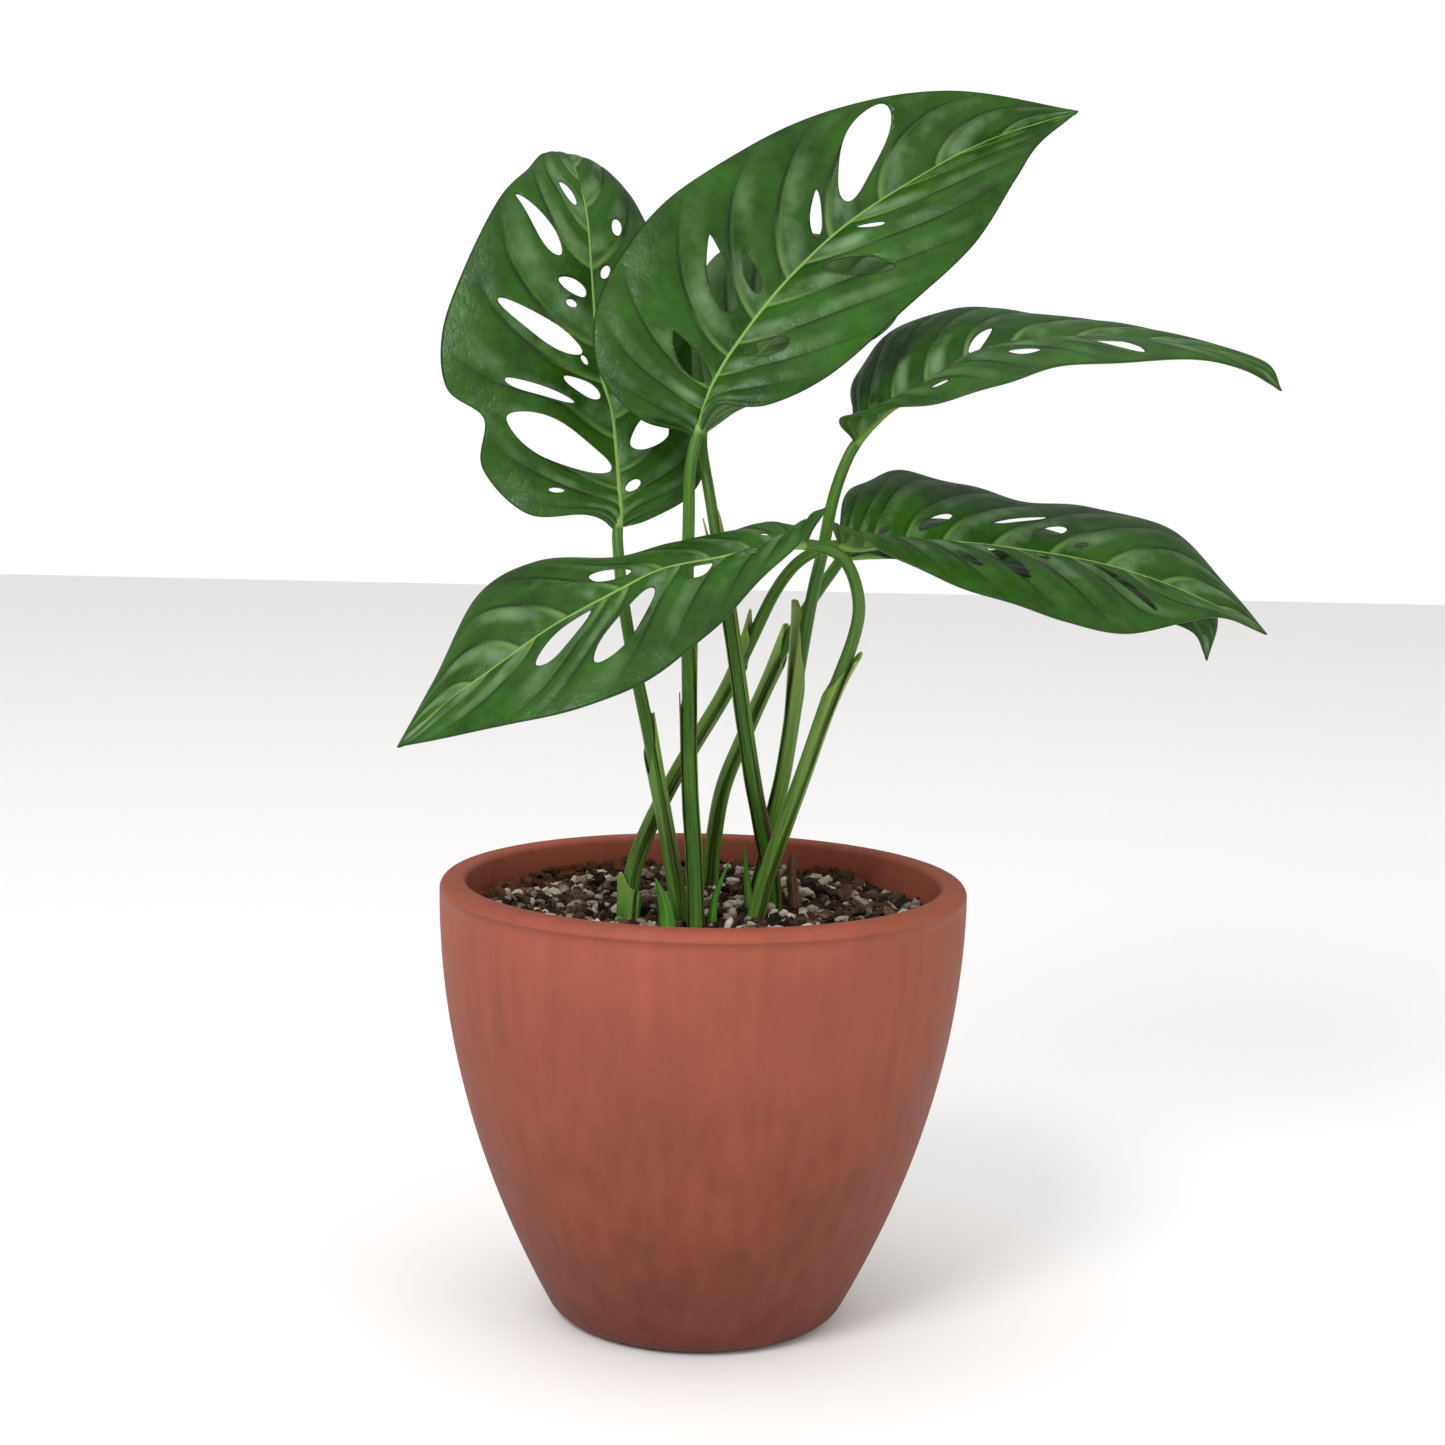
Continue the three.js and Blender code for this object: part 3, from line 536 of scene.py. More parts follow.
# %% Laying the blade on its rails
def blade_point(rails, share, side):
    middle = smooth_curve(rails["midrib"], share)
    left = smooth_curve(rails["left"], share)
    right = smooth_curve(rails["right"], share)
    margin = np.where((side < 0)[:, None], right, left)
    step = 1e-4
    tangent = (smooth_curve(rails["midrib"], np.minimum(share + step, 1))
               - smooth_curve(rails["midrib"], np.maximum(share - step, 0)))
    up = unit(np.cross(right - left, tangent))
    reach = np.abs(side)[:, None]
    dome = BLADE_CAMBER * np.linalg.norm(margin - middle, axis=1, keepdims=True)
    return middle + (margin - middle) * reach + up * dome * 4 * reach * (1 - reach)


def blade_normal(rails, share, side):
    step = 0.01
    inside = np.clip(share, 0.03, 0.97)
    along = blade_point(rails, inside + step, side) - blade_point(rails, inside - step, side)
    low, high = np.maximum(side - 2 * step, -1), np.minimum(side + 2 * step, 1)
    across = blade_point(rails, inside, high) - blade_point(rails, inside, low)
    return unit(np.cross(along, across))


def quilting(rails, length, holes, share, side):
    relief = np.zeros(len(share))
    panel = np.zeros((len(share), 3))
    for sign in (1, -1):
        here = (side >= 0) == (sign > 0)
        phase = vein_phase(share[here], side[here])
        starts = side_veins(rails, length, holes, sign)
        index = np.clip(np.searchsorted(starts, phase), 1, len(starts) - 1)
        low, high = starts[index - 1], starts[index]
        t = np.clip((phase - low) / (high - low), 0, 1)
        spacing = (high - low) * length * VEIN_SLANT
        reach = np.abs(side[here])
        fade = np.clip(reach / 0.12, 0, 1) * np.clip((1 - reach) / 0.25, 0, 1)
        near_tip = np.clip((1 - share[here]) / 0.5, 0, 1) * np.clip(share[here] / 0.05, 0, 1)
        pillow = np.sin(math.pi * t) ** 0.8 * near_tip
        from_vein = np.minimum(t, 1 - t) * spacing
        groove = np.exp(-(from_vein / GROOVE_WIDTH) ** 2) * (1 - 0.6 * reach)
        relief[here] = (QUILT_HEIGHT * pillow - GROOVE_DEPTH * groove) * fade
        turn = 2 * math.pi * t
        panel[here] = np.stack([np.sin(turn), np.cos(turn), spacing / (2 * math.pi * MM)], axis=1)
    return relief, panel


def leaf_rails(leaf):
    base, *_, tip = leaf["midrib"]
    return {
        "midrib": rail(leaf["midrib"]),
        "left": rail([base, *leaf["left"], tip]),
        "right": rail([base, *leaf["right"], tip]),
    }


def make_blade(name, leaf):
    # the leaf behind the front one gets the paler copy with painted sheen
    top = painted_sheen_leaf_top if name == "behind_front" else leaf_top
    rails = leaf_rails(leaf)
    length = step_lengths(smooth_curve(rails["midrib"], np.linspace(0, 1, 400))).sum()
    mesh = flat_blade(rails, length, leaf["holes"])
    flat = coordinates(mesh)
    share = np.clip(flat[:, 0] / length, 0, 1)
    width = half_width(rails, share, flat[:, 1])
    side = np.where(width > WELD, np.clip(flat[:, 1] / np.maximum(width, WELD), -1, 1), 0)
    relief, panel = quilting(rails, length, leaf["holes"], share, side)
    waves = np.sin(RIPPLE_WAVES * share + 2 * np.sign(side)) * (1 - share)
    ripple = RIPPLE_HEIGHT * np.abs(side) ** 3 * waves
    place = (blade_point(rails, share, side)
             + blade_normal(rails, share, side) * (relief + ripple)[:, None])
    mesh.vertices.foreach_set("co", place.ravel())
    edge = np.minimum((1 - np.abs(side)) * width,
                      hole_distance(flat[:, 0], flat[:, 1], leaf["holes"]))
    for label, values in (("reach", np.abs(side)), ("edge", edge / MM)):
        layer = mesh.attributes.new(label, "FLOAT", "POINT")
        layer.data.foreach_set("value", values.astype(np.float32))
    layer = mesh.attributes.new("panel", "FLOAT_VECTOR", "POINT")
    layer.data.foreach_set("vector", panel.astype(np.float32).ravel())
    blade = finished(f"blade_{name}", mesh, [top, leaf_under, leaf_margin], "leaf",
                     f"leaf_{name}")
    wall = blade.modifiers.new("thickness", "SOLIDIFY")
    wall.thickness = BLADE_THICKNESS
    wall.offset = -1
    wall.material_offset = 1
    wall.material_offset_rim = 2
    return blade


for leaf_name, leaf_shape in LEAVES.items():
    make_blade(leaf_name, leaf_shape)

# %% [markdown]
# ## Stem finishes
# A petiole is a smooth juicy stalk, so it is mid green with fine lengthwise streaks and a
# soft shine. Its sheath is the same green but thinner: its top is paler, and its free edges
# dry to a brown paper. The streaks read a "section" attribute, which holds the place round
# the stalk and the way up it, so they run along each stalk. "pale" and "dry" say how far a
# place has gone to the two other colours, and on a midrib "dry" is its light yellow-green.

# %% Stalk and sheath materials
YOUNG_GREEN = "#a3bd5f"
STREAK_LENGTH = 60 * MM


def stalk_material(name, dark, light, edge_colour, roughness):
    material, tree, shader = new_material(name, IOR=1.4, Specular_IOR_Level=0.4)
    section = add(tree, "ShaderNodeAttribute", attribute_name="section")
    streak = add(tree, "ShaderNodeTexNoise", {"Vector": section.outputs["Vector"]},
                 {"Scale": 3.5, "Detail": 5.0, "Roughness": 0.65})
    spread = add(tree, "ShaderNodeMapRange", {"Value": streak.outputs["Fac"]},
                 {"From Min": 0.32, "From Max": 0.68})
    green = add(tree, "ShaderNodeMix", {"Factor": spread.outputs["Result"]},
                {"A": linear(dark), "B": linear(light)}, data_type="RGBA")
    pale = add(tree, "ShaderNodeAttribute", attribute_name="pale")
    young = add(tree, "ShaderNodeMix",
                {"Factor": pale.outputs["Fac"], "A": green.outputs["Result"]},
                {"B": linear(YOUNG_GREEN)}, data_type="RGBA")
    dry = add(tree, "ShaderNodeAttribute", attribute_name="dry")
    colour = add(tree, "ShaderNodeMix",
                 {"Factor": dry.outputs["Fac"], "A": young.outputs["Result"]},
                 {"B": linear(edge_colour)}, data_type="RGBA")
    tree.links.new(colour.outputs["Result"], shader.inputs["Base Color"])
    rough = add(tree, "ShaderNodeMapRange", {"Value": dry.outputs["Fac"]},
                {"To Min": roughness, "To Max": 0.8})
    tree.links.new(rough.outputs["Result"], shader.inputs["Roughness"])
    bump = add(tree, "ShaderNodeBump", {"Height": streak.outputs["Fac"]},
               {"Strength": 0.35, "Distance": 0.25 * MM})
    tree.links.new(bump.outputs["Normal"], shader.inputs["Normal"])
    return material


stalk_green = stalk_material("smooth_green_stalk", "#2b4f11", "#547f2a", "#86aa56", 0.32)
sheath_green = stalk_material("dried_edge_leaf_sheath", "#3b6219", "#749a3f", "#4a2c1e", 0.36)
shoot_green = stalk_material("young_green_shoot", "#2c6414", "#5f9a32", "#b9c98a", 0.42)
dried_brown = stalk_material("dried_brown_stem", "#38241a", "#7a5a42", "#2a1a12", 0.85)

# %% [markdown]
# ## Stalks
# A tube is one circle, extruded ring by ring along a curve. The rings keep the same side
# turned to the front all the way up, so a sheath can be told which way it opens.

# %% Rings along a curve
PETIOLE_ROOT = 2.5 * MM
PETIOLE_TOP = 1.75 * MM
MIDRIB_RADIUS = 1.15 * MM
MIDRIB_TIP = 0.2 * MM
MIDRIB_LIGHT = 0.8
STALK_SIDES = 20
ROOT_DEPTH = 6 * MM


def ring_frames(centres):
    ahead = unit(np.gradient(centres, axis=0))
    back = np.empty_like(centres)
    way = np.array([0.0, 1.0, 0.0])
    for i, direction in enumerate(ahead):
        way = way - direction * way.dot(direction)
        way /= np.linalg.norm(way)
        back[i] = way
    return np.cross(back, ahead), back


def tube(bm, centres, radii, sides=STALK_SIDES):
    section = bm.verts.layers.float_vector.new("section")
    bm.verts.layers.float.new("dry")
    right, back = ring_frames(centres)
    angles = np.arange(sides) * 2 * math.pi / sides
    ring = bmesh.ops.create_circle(bm, segments=sides, radius=1, cap_ends=True)["verts"]
    rings = [ring]
    for _ in centres[1:]:
        loop = [bm.edges.get((ring[i - 1], ring[i])) for i in range(sides)]
        grown = bmesh.ops.extrude_edge_only(bm, edges=loop)["geom"]
        new = {item for item in grown if isinstance(item, bmesh.types.BMVert)}
        ring = [next(e.other_vert(v) for e in v.link_edges if e.other_vert(v) in new)
                for v in ring]
        rings.append(ring)
    bmesh.ops.contextual_create(bm, geom=ring)
    travelled = np.concatenate([[0], np.cumsum(step_lengths(centres))])
    for i, ring in enumerate(rings):
        for vertex, angle in zip(ring, angles):
            out = right[i] * math.cos(angle) + back[i] * math.sin(angle)
            vertex.co = centres[i] + out * radii[i]
            vertex[section] = (math.cos(angle), math.sin(angle), travelled[i] / STREAK_LENGTH)


def petiole_curve(leaf):
    points = rail(leaf["petiole"])
    base = rail(leaf["midrib"][:2])
    start = points[0] - unit((points[1] - points[0])[None])[0] * ROOT_DEPTH
    whole = np.vstack([start, points, base])
    share = np.linspace(0, (len(whole) - 2) / (len(whole) - 1), 60)
    return smooth_curve(whole, share)


def make_stalk(name, leaf):
    petiole = petiole_curve(leaf)
    rails = leaf_rails(leaf)
    share = np.linspace(0, 1, 50)[1:-1]
    middle = np.zeros(len(share))
    rib_radii = PETIOLE_TOP + (MIDRIB_RADIUS - PETIOLE_TOP) * np.clip(share / 0.1, 0, 1)
    rib_radii = rib_radii * (1 - share) ** 0.8 + MIDRIB_TIP * share
    sunk = rib_radii * np.clip(share / 0.12, 0, 1) * 0.5
    rib = blade_point(rails, share, middle) - blade_normal(rails, share, middle) * sunk[:, None]
    centres = np.vstack([petiole, rib])
    for _ in range(3):
        centres[1:-1] = (centres[:-2] + 2 * centres[1:-1] + centres[2:]) / 4
    radii = np.concatenate([np.linspace(PETIOLE_ROOT, PETIOLE_TOP, len(petiole)), rib_radii])
    bm = bmesh.new()
    tube(bm, centres, radii)
    dry = bm.verts.layers.float["dry"]
    bm.verts.ensure_lookup_table()
    first_rib = len(petiole) * STALK_SIDES
    for vertex in bm.verts[first_rib:]:
        vertex[dry] = MIDRIB_LIGHT
    bmesh.ops.recalc_face_normals(bm, faces=bm.faces)
    stalk = as_mesh(f"stalk_{name}", bm)
    return finished(f"stalk_{name}", stalk, [stalk_green], "stem", f"petiole_{name}")


for leaf_name, leaf_shape in LEAVES.items():
    make_stalk(leaf_name, leaf_shape)

# %% [markdown]
# ## Leaf sheaths
# The lower half of each petiole is wrapped in a thin sheath that has split down one side
# and been torn off at the top. It is a grid bent round the stalk, with its two free edges
# standing a little away, then given the thickness of stiff paper.

# %% Sheaths
SHEATH_GAP = 0.3 * MM
SHEATH_FLARE = 0.4 * MM
SHEATH_WALL = 0.35 * MM
SHEATH_ROWS = 70
SHEATH_COLUMNS = 28
EDGE_CURL = 0.3 * MM
TORN = 0.006  # its top edge is uneven by this share of the petiole
FLAP_DROP = 0.1  # and falls by this share from its flap to the side across
WIDE_SLIT = 40  # degrees: a sheath open this far has broad dry edges
STUB_RADIUS = PETIOLE_ROOT + 0.9 * MM


def part_way(values, place):
    low = np.clip(np.floor(place).astype(int), 0, len(values) - 2)
    t = (place - low)[:, None]
    return values[low] * (1 - t) + values[low + 1] * t


def wrap(name, centres, radii, shape, drop, material):
    top, facing, slit, flap, flare = shape
    right, back = ring_frames(centres)
    bm = bmesh.new()
    section = bm.verts.layers.float_vector.new("section")
    dry = bm.verts.layers.float.new("dry")
    pale = bm.verts.layers.float.new("pale")
    bmesh.ops.create_grid(bm, x_segments=SHEATH_ROWS, y_segments=SHEATH_COLUMNS, size=1)
    grid = np.array([vertex.co for vertex in bm.verts])
    upward, round_it = (grid[:, 0] + 1) / 2, grid[:, 1]
    angle = np.radians(facing + 180 + round_it * (180 - slit))
    from_flap = (1 - np.cos(angle - math.radians(flap))) / 2
    height = upward * (top - drop * from_flap + TORN * np.sin(4 * angle + facing))
    place = height * (len(centres) - 1)
    near_top = np.clip((upward - 0.75) / 0.25, 0, 1) ** 2
    near_edge = np.clip((np.abs(round_it) - 0.86) / 0.14, 0, 1) ** 2
    stands_off = (SHEATH_FLARE + flare * MM * (1 - from_flap) ** 2) * near_top
    curl = EDGE_CURL * near_edge * (1 + 0.3 * np.sin(40 * upward))
    reach = part_way(radii[:, None], place)[:, 0] + SHEATH_GAP + stands_off + curl
    out = (part_way(right, place) * np.cos(angle)[:, None]
           + part_way(back, place) * np.sin(angle)[:, None])
    where = part_way(centres, place) + out * reach[:, None]
    dry_from = 0.92 if slit < WIDE_SLIT else 0.66
    patchy = 0.55 + 0.45 * np.sin(9 * upward + facing)
    dryness = np.clip((np.abs(round_it) - dry_from) / 0.05, 0, 1) * patchy * (1 - 0.8 * near_top)
    paleness = 0.75 * np.clip((upward - 0.55) / 0.45, 0, 1) * (1 - from_flap)
    streak = height * step_lengths(centres).sum() / STREAK_LENGTH
    for i, vertex in enumerate(bm.verts):
        vertex.co = where[i]
        vertex[section] = (math.cos(angle[i]), math.sin(angle[i]), streak[i])
        vertex[dry] = dryness[i]
        vertex[pale] = paleness[i]
    sheath = finished(name, as_mesh(name, bm), [material], "stem")
    wall = sheath.modifiers.new("thickness", "SOLIDIFY")
    wall.thickness = SHEATH_WALL
    wall.offset = 0
    return sheath


def make_sheath(name, leaf):
    centres = petiole_curve(leaf)
    radii = np.linspace(PETIOLE_ROOT, PETIOLE_TOP, len(centres))
    return wrap(f"sheath_{name}", centres, radii, leaf["sheath"], FLAP_DROP, sheath_green)


for leaf_name, leaf_shape in LEAVES.items():
    make_sheath(leaf_name, leaf_shape)
middle_root = petiole_curve(LEAVES["right_middle"])
wrap("sheath_stub", middle_root, np.full(len(middle_root), STUB_RADIUS),
     [0.22, 300, 10, 190, 0.5], FLAP_DROP / 2, shoot_green)

# %% [markdown]
# ## Young shoots and a dried stem
# New growth comes up as pointed green cones between the petioles, and an old stem has
# dried to a brown stump. They are the same kind of tube, on short paths of their own.

# %% Shoots
SHOOT_SIDES = 14
SHOOTS = {
    "shoot_cone": dict(path=[[-11, -24, -4], [-11, -24, 1], [-12, -24, 8], [-15, -25, 16]],
                       radii=[2.6, 2.8, 2.2, 0.25], finish=shoot_green),
    "shoot_curved": dict(path=[[3, -15, -4], [3, -15, 1], [4, -15, 9], [8, -15, 20]],
                         radii=[1.7, 1.6, 1.1, 0.2], finish=shoot_green),
    "shoot_spike": dict(path=[[15, 5, -4], [15, 5, 2], [14, 6, 11], [13, 7, 22]],
                        radii=[1.5, 1.5, 1.0, 0.2], finish=shoot_green),
    "dried_stem": dict(path=[[30, 15, -4], [30, 15, 1], [29, 15, 9], [29, 16, 17]],
                       radii=[2.3, 2.1, 1.7, 1.1], finish=dried_brown),
}


def make_shoot(name, path, radii, finish):
    share = np.linspace(0, 1, 26)
    centres = smooth_curve(rail(path), share)
    widths = np.interp(share, np.linspace(0, 1, len(radii)), radii) * MM
    if finish is dried_brown:
        widths *= 1 + 0.12 * np.sin(23 * share) + 0.08 * np.sin(51 * share)
    bm = bmesh.new()
    tube(bm, centres, widths, SHOOT_SIDES)
    bmesh.ops.recalc_face_normals(bm, faces=bm.faces)
    slot = "dried_stem" if finish is dried_brown else "shoot"
    return finished(f"{name}_skin", as_mesh(f"{name}_skin", bm), [finish], slot, name)


for shoot_name, shoot in SHOOTS.items():
    make_shoot(shoot_name, **shoot)

# %% [markdown]
# ## The pot
# A terracotta pot is thrown or pressed on a wheel, so its skin is one profile spun round.
# Fired clay is matte and chalky. Soft streaks run down it, and painted shade makes it
# darker towards the foot.

# %% Terracotta
def clay_material():
    material, tree, shader = new_material("pressed_terracotta", IOR=1.45, Specular_IOR_Level=0.3)
    place = add(tree, "ShaderNodeTexCoord").outputs["Object"]
    height = add(tree, "ShaderNodeSeparateXYZ", {"Vector": place})
    blotch = add(tree, "ShaderNodeTexNoise", {"Vector": place},
                 {"Scale": 1 / (35 * MM), "Detail": 5.0, "Roughness": 0.6})
    stretch = add(tree, "ShaderNodeMapping", {"Vector": place}, {"Scale": (1.0, 1.0, 0.12)})
    streak = add(tree, "ShaderNodeTexNoise", {"Vector": stretch.outputs["Vector"]},
                 {"Scale": 1 / (5 * MM), "Detail": 4.0})
    # painted shade: the clay's colour darkens towards the foot
    low = add(tree, "ShaderNodeMapRange", {"Value": height.outputs["Z"]},
              {"From Min": 0.0, "From Max": POT_HEIGHT, "To Min": -0.15, "To Max": 0.4})
    mixed = add(tree, "ShaderNodeMath", {0: blotch.outputs["Fac"], 2: low.outputs["Result"]},
                {1: 0.4}, operation="MULTIPLY_ADD")
    both = add(tree, "ShaderNodeMath", {0: streak.outputs["Fac"], 2: mixed.outputs["Value"]},
               {1: 0.35}, operation="MULTIPLY_ADD")
    spread = add(tree, "ShaderNodeMapRange", {"Value": both.outputs["Value"]},
                 {"From Min": 0.0, "From Max": 0.95})
    clay = add(tree, "ShaderNodeMix", {"Factor": spread.outputs["Result"]},
               {"A": linear("#431a0e"), "B": linear("#a25440")}, data_type="RGBA")
    grit = add(tree, "ShaderNodeTexNoise", {"Vector": place},
               {"Scale": 1 / (0.9 * MM), "Detail": 2.0})
    speck = add(tree, "ShaderNodeMapRange", {"Value": grit.outputs["Fac"]},
                {"From Min": 0.7, "From Max": 0.78, "To Min": 0.0, "To Max": 0.5})
    speckled = add(tree, "ShaderNodeMix",
                   {"Factor": speck.outputs["Result"], "A": clay.outputs["Result"]},
                   {"B": linear("#4a2018")}, data_type="RGBA")
    tree.links.new(speckled.outputs["Result"], shader.inputs["Base Color"])
    rough = add(tree, "ShaderNodeMapRange", {"Value": blotch.outputs["Fac"]},
                {"From Min": 0.3, "From Max": 0.7, "To Min": 0.52, "To Max": 0.68})
    tree.links.new(rough.outputs["Result"], shader.inputs["Roughness"])
    bump = add(tree, "ShaderNodeBump", {"Height": grit.outputs["Fac"]},
               {"Strength": 0.2, "Distance": 0.15 * MM})
    tree.links.new(bump.outputs["Normal"], shader.inputs["Normal"])
    return material


clay = clay_material()

# %% Pot profile, spun round
WALL_TOP = POT_HEIGHT - LIP_OUTER_ROUND
FLARE = math.atan2(2 * (RIM_RADIUS - FOOT_RADIUS - FOOT_ROUND), WALL_TOP)
WALL_FOOT_RADIUS = FOOT_RADIUS + FOOT_ROUND * math.cos(FLARE)
WALL_FOOT_HEIGHT = FOOT_ROUND * (1 - math.sin(FLARE))
RIDGE_DROP = 5 * MM
RIDGE_DEPTH = 0.35 * MM
RIDGE_WIDTH = 0.9 * MM
POT_SIDES = 128


def outer_radius(height):
    height = min(height, WALL_TOP)
    drop = (WALL_TOP - height) / (WALL_TOP - WALL_FOOT_HEIGHT)
    groove = math.exp(-((height - (POT_HEIGHT - RIDGE_DROP)) / RIDGE_WIDTH) ** 2)
    return RIM_RADIUS - (RIM_RADIUS - WALL_FOOT_RADIUS) * drop ** 2 - RIDGE_DEPTH * groove


def arc(radius, height, round_radius, start, end, steps=8):
    for i in range(steps + 1):
        angle = start + (end - start) * i / steps
        yield radius + round_radius * math.cos(angle), height + round_radius * math.sin(angle)


def pot_profile():
    quarter = math.pi / 2
    bowl = POT_FLOOR + FOOT_ROUND
    yield 0, 0
    yield from arc(FOOT_RADIUS, FOOT_ROUND, FOOT_ROUND, -quarter, -FLARE)
    for height in np.linspace(WALL_FOOT_HEIGHT, WALL_TOP, 44)[1:]:
        yield outer_radius(height), height
    yield from arc(RIM_RADIUS - LIP_OUTER_ROUND, WALL_TOP, LIP_OUTER_ROUND, 0, quarter)
    yield from arc(RIM_RADIUS - POT_WALL + LIP_INNER_ROUND, POT_HEIGHT - LIP_INNER_ROUND,
                   LIP_INNER_ROUND, quarter, 2 * quarter)
    for height in np.linspace(WALL_TOP - LIP_INNER_ROUND, bowl, 30):
        yield outer_radius(height) - POT_WALL, height
    yield outer_radius(bowl) - POT_WALL - FOOT_ROUND, POT_FLOOR
    yield 0, POT_FLOOR


def spun_pot():
    bm = bmesh.new()
    previous = None
    for radius, height in pot_profile():
        vertex = bm.verts.new((radius, 0, height))
        if previous:
            bm.edges.new((previous, vertex))
        previous = vertex
    bmesh.ops.spin(bm, geom=bm.verts[:] + bm.edges[:], axis=(0, 0, 1), cent=(0, 0, 0),
                   angle=2 * math.pi, steps=POT_SIDES, use_merge=True)
    bmesh.ops.remove_doubles(bm, verts=bm.verts, dist=WELD)
    bmesh.ops.recalc_face_normals(bm, faces=bm.faces)
    return as_mesh("pot_skin", bm)


def drain_drills():
    bm = bmesh.new()
    for quarter_turn in range(4):
        turn = math.pi / 4 + quarter_turn * math.pi / 2
        place = (DRAIN_CIRCLE * math.cos(turn), DRAIN_CIRCLE * math.sin(turn), 0)
        bmesh.ops.create_cone(bm, cap_ends=True, segments=32, radius1=DRAIN_RADIUS,
                              radius2=DRAIN_RADIUS, depth=4 * POT_FLOOR,
                              matrix=Matrix.Translation(place))
    return as_mesh("drills", bm)


finished("pot_skin", punched(spun_pot(), drain_drills()), [clay], "pot", "pot")

# %% [markdown]
# ## The potting mix
# An orchid-type mix is chopped bark with perlite. Each chip is a ball of twenty faces,
# jittered and flattened, and hundreds are strewn over the heap, so that the surface is
# made of pieces and not of a picture of pieces. Rust-brown fibre lies along the wall.

# %% Mix materials
def chip_material(name, dark, mid, light, grain_size, roughness):
    material, tree, shader = new_material(name, Roughness=roughness, IOR=1.45,
                                          Specular_IOR_Level=0.25)
    place = add(tree, "ShaderNodeTexCoord").outputs["Object"]
    tone = add(tree, "ShaderNodeAttribute", attribute_name="tone")
    grain = add(tree, "ShaderNodeTexNoise", {"Vector": place},
                {"Scale": 1 / grain_size, "Detail": 4.0, "Roughness": 0.7})
    shifted = add(tree, "ShaderNodeMath", {0: grain.outputs["Fac"], 2: tone.outputs["Fac"]},
                  {1: 0.9}, operation="MULTIPLY_ADD")
    ramp = add(tree, "ShaderNodeMapRange", {"Value": shifted.outputs["Value"]},
               {"From Min": 0.4, "From Max": 1.0})
    lower = add(tree, "ShaderNodeMix", {"Factor": ramp.outputs["Result"]},
                {"A": linear(dark), "B": linear(mid)}, data_type="RGBA")
    bright = add(tree, "ShaderNodeMapRange", {"Value": shifted.outputs["Value"]},
                 {"From Min": 1.0, "From Max": 1.45})
    upper = add(tree, "ShaderNodeMix",
                {"Factor": bright.outputs["Result"], "A": lower.outputs["Result"]},
                {"B": linear(light)}, data_type="RGBA")
    tree.links.new(upper.outputs["Result"], shader.inputs["Base Color"])
    bump = add(tree, "ShaderNodeBump", {"Height": grain.outputs["Fac"]},
               {"Strength": 0.6, "Distance": 0.4 * MM})
    tree.links.new(bump.outputs["Normal"], shader.inputs["Normal"])
    return material


bark = chip_material("chopped_pine_bark", "#1c110a", "#5a4030", "#b09a82", 1.2 * MM, 0.85)
perlite = chip_material("expanded_perlite", "#6a5c4e", "#c0b4a4", "#f4efe6", 0.8 * MM, 0.9)
fibre = chip_material("rusty_coir_fibre", "#26140a", "#60371a", "#94683a", 0.9 * MM, 0.9)
mix_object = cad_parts["potting_mix"]
mix_object.data.materials.clear()
mix_object.data.materials.append(bark)

# %% Strewing chips over the heap
MIX_RADIUS = RIM_RADIUS - POT_WALL - 1.2 * MM
STEM_ROOM = 2.6 * MM
CHIP_TILT = 0.45  # radians
ANY_TURN = 6.3  # radians, about a full turn
WALL_BAND = 4.5 * MM
WALL_CLIMB = 3.5 * MM
rng = np.random.default_rng(5)
stem_roots = [leaf["petiole"][0][:2] for leaf in LEAVES.values()]
stem_roots += [shoot["path"][0][:2] for shoot in SHOOTS.values()]
stem_roots = np.array(stem_roots) * MM


def heap_height(x, y):
    x, y = x / MM, y / MM
    waves = math.sin(x / 11 + 1) * math.cos(y / 13) + 0.5 * math.sin(x / 6 - y / 7)
    back = max(0, y / (RIM_RADIUS / MM))
    return SOIL_TOP + SOIL_WAVE * 0.7 * waves + SOIL_BACK_RISE * back * back


def chip_place(along_wall):
    radius = MIX_RADIUS * math.sqrt(rng.uniform())
    angle = rng.uniform(0, 2 * math.pi)
    if along_wall:
        radius = MIX_RADIUS - abs(rng.normal(0, WALL_BAND)) - 2 * MM
        angle = math.radians(rng.uniform(*along_wall))
    return radius * math.cos(angle), radius * math.sin(angle)


def strew(name, count, sizes, flatness, tones, material, along_wall=None):
    bm = bmesh.new()
    tone = bm.verts.layers.float.new("tone")
    for _ in range(count):
        size = rng.uniform(*sizes) * MM
        x, y = chip_place(along_wall)
        from_middle = math.hypot(x, y)
        from_stem = np.hypot(*(stem_roots - (x, y)).T).min()
        if from_middle > MIX_RADIUS - size / 2 or from_stem < STEM_ROOM + size / 2:
            continue
        chip = bmesh.ops.create_icosphere(bm, subdivisions=1, radius=0.5)["verts"]
        shade = rng.uniform(*tones)
        long, narrow = rng.uniform(0.8, 1.5), rng.uniform(0.55, 1.0)
        for vertex in chip:
            vertex.co *= rng.uniform(0.75, 1.25)
            vertex.co *= Vector((long, narrow, flatness)) * size
            vertex[tone] = shade
        turn = (Matrix.Rotation(rng.uniform(0, ANY_TURN), 4, "Z")
                @ Matrix.Rotation(rng.normal(0, CHIP_TILT), 4, "X")
                @ Matrix.Rotation(rng.normal(0, CHIP_TILT), 4, "Y"))
        lift = heap_height(x, y) + flatness * size * rng.uniform(0.0, 0.45)
        if along_wall:
            lift += rng.uniform(0, WALL_CLIMB) * (from_middle / MIX_RADIUS) ** 6
        bmesh.ops.transform(bm, verts=chip, matrix=Matrix.Translation((x, y, lift)) @ turn)
    return finished(name, as_mesh(name, bm), [material], "potting_mix", smooth=False)


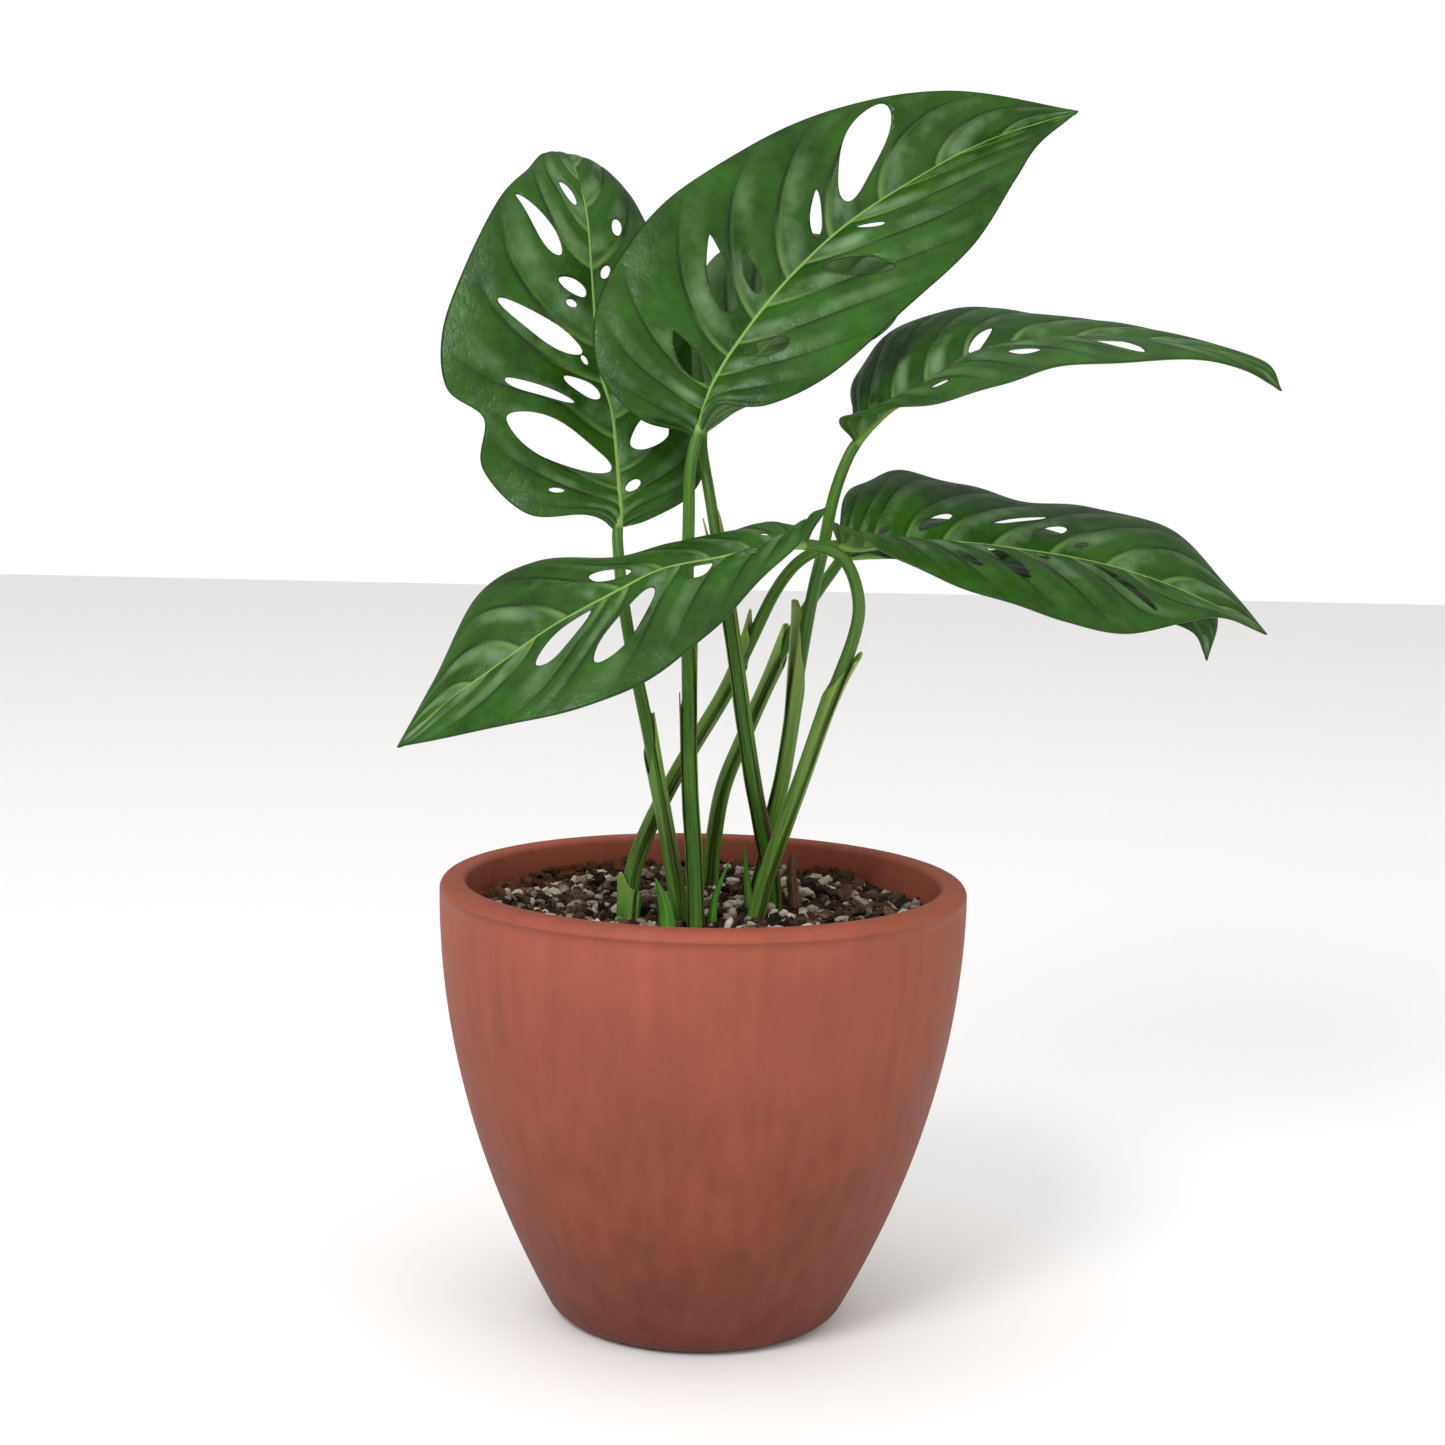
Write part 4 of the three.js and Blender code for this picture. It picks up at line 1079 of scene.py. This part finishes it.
strew("bark_small", 2600, (1.6, 3.4), 0.55, (-0.1, 0.55), bark)
strew("bark_chips", 620, (3.4, 7.5), 0.42, (-0.1, 0.6), bark)
strew("perlite_grains", 560, (2.0, 5.4), 0.75, (0.0, 0.6), perlite)
for clump, count, stretch in (("left", 300, (104, 178)), ("right", 70, (46, 57))):
    strew(f"fibre_{clump}", count, (2.0, 5.0), 0.6, (0.0, 0.5), fibre, stretch)

# %% [markdown]
# ## The stage
# A plain pale floor and three soft lights: a large key high on the left, a weak fill on the
# right and a very broad one overhead. A pale sky keeps the shadows open.

# %% Floor and lights
FLOOR_HALF = 3
PLANT_MIDDLE = (0, 0, 0.2)

bm = bmesh.new()
bmesh.ops.create_grid(bm, x_segments=1, y_segments=1, size=FLOOR_HALF)
floor_mesh = as_mesh("floor", bm)
floor = bpy.data.objects.new("floor", floor_mesh)
bpy.context.scene.collection.objects.link(floor)
pale_floor, _, _ = new_material("pale_floor", Base_Color=linear("#fbfaf9"), Roughness=0.8)
floor_mesh.materials.append(pale_floor)


def soft_light(name, place, size, watts):
    data = bpy.data.lights.new(name, "AREA")
    data.shape = "DISK"
    data.size = size
    data.energy = watts
    lamp = bpy.data.objects.new(name, data)
    aim = (Vector(PLANT_MIDDLE) - Vector(place)).to_track_quat("-Z", "Y")
    lamp.matrix_world = Matrix.Translation(place) @ aim.to_matrix().to_4x4()
    bpy.context.scene.collection.objects.link(lamp)


soft_light("key", (-0.6, -1.2, 1.2), 0.6, 14)
soft_light("fill", (1.0, -0.9, 0.7), 0.9, 2.5)
soft_light("overhead", (0, 0, 2.6), 4.0, 14)
# The sky is white to the eye, lights the floor evenly, and shines less in glossy surfaces.
SKY_LIGHT = 0.8
SKY_GLOSS = 0.3
world = bpy.data.worlds.new("pale_sky")
world.use_nodes = True
sky = world.node_tree.nodes["Background"]
ray = add(world.node_tree, "ShaderNodeLightPath")
seen = add(world.node_tree, "ShaderNodeMath", {0: ray.outputs["Is Camera Ray"]},
           {1: 1 - SKY_LIGHT, 2: SKY_LIGHT}, operation="MULTIPLY_ADD")
mirrored = add(world.node_tree, "ShaderNodeMath",
               {0: ray.outputs["Is Glossy Ray"], 2: seen.outputs["Value"]},
               {1: SKY_GLOSS - SKY_LIGHT}, operation="MULTIPLY_ADD")
world.node_tree.links.new(mirrored.outputs["Value"], sky.inputs["Strength"])
sky.inputs["Color"].default_value = linear("#ffffff")
bpy.context.scene.world = world
bpy.context.scene.view_settings.view_transform = "Standard"
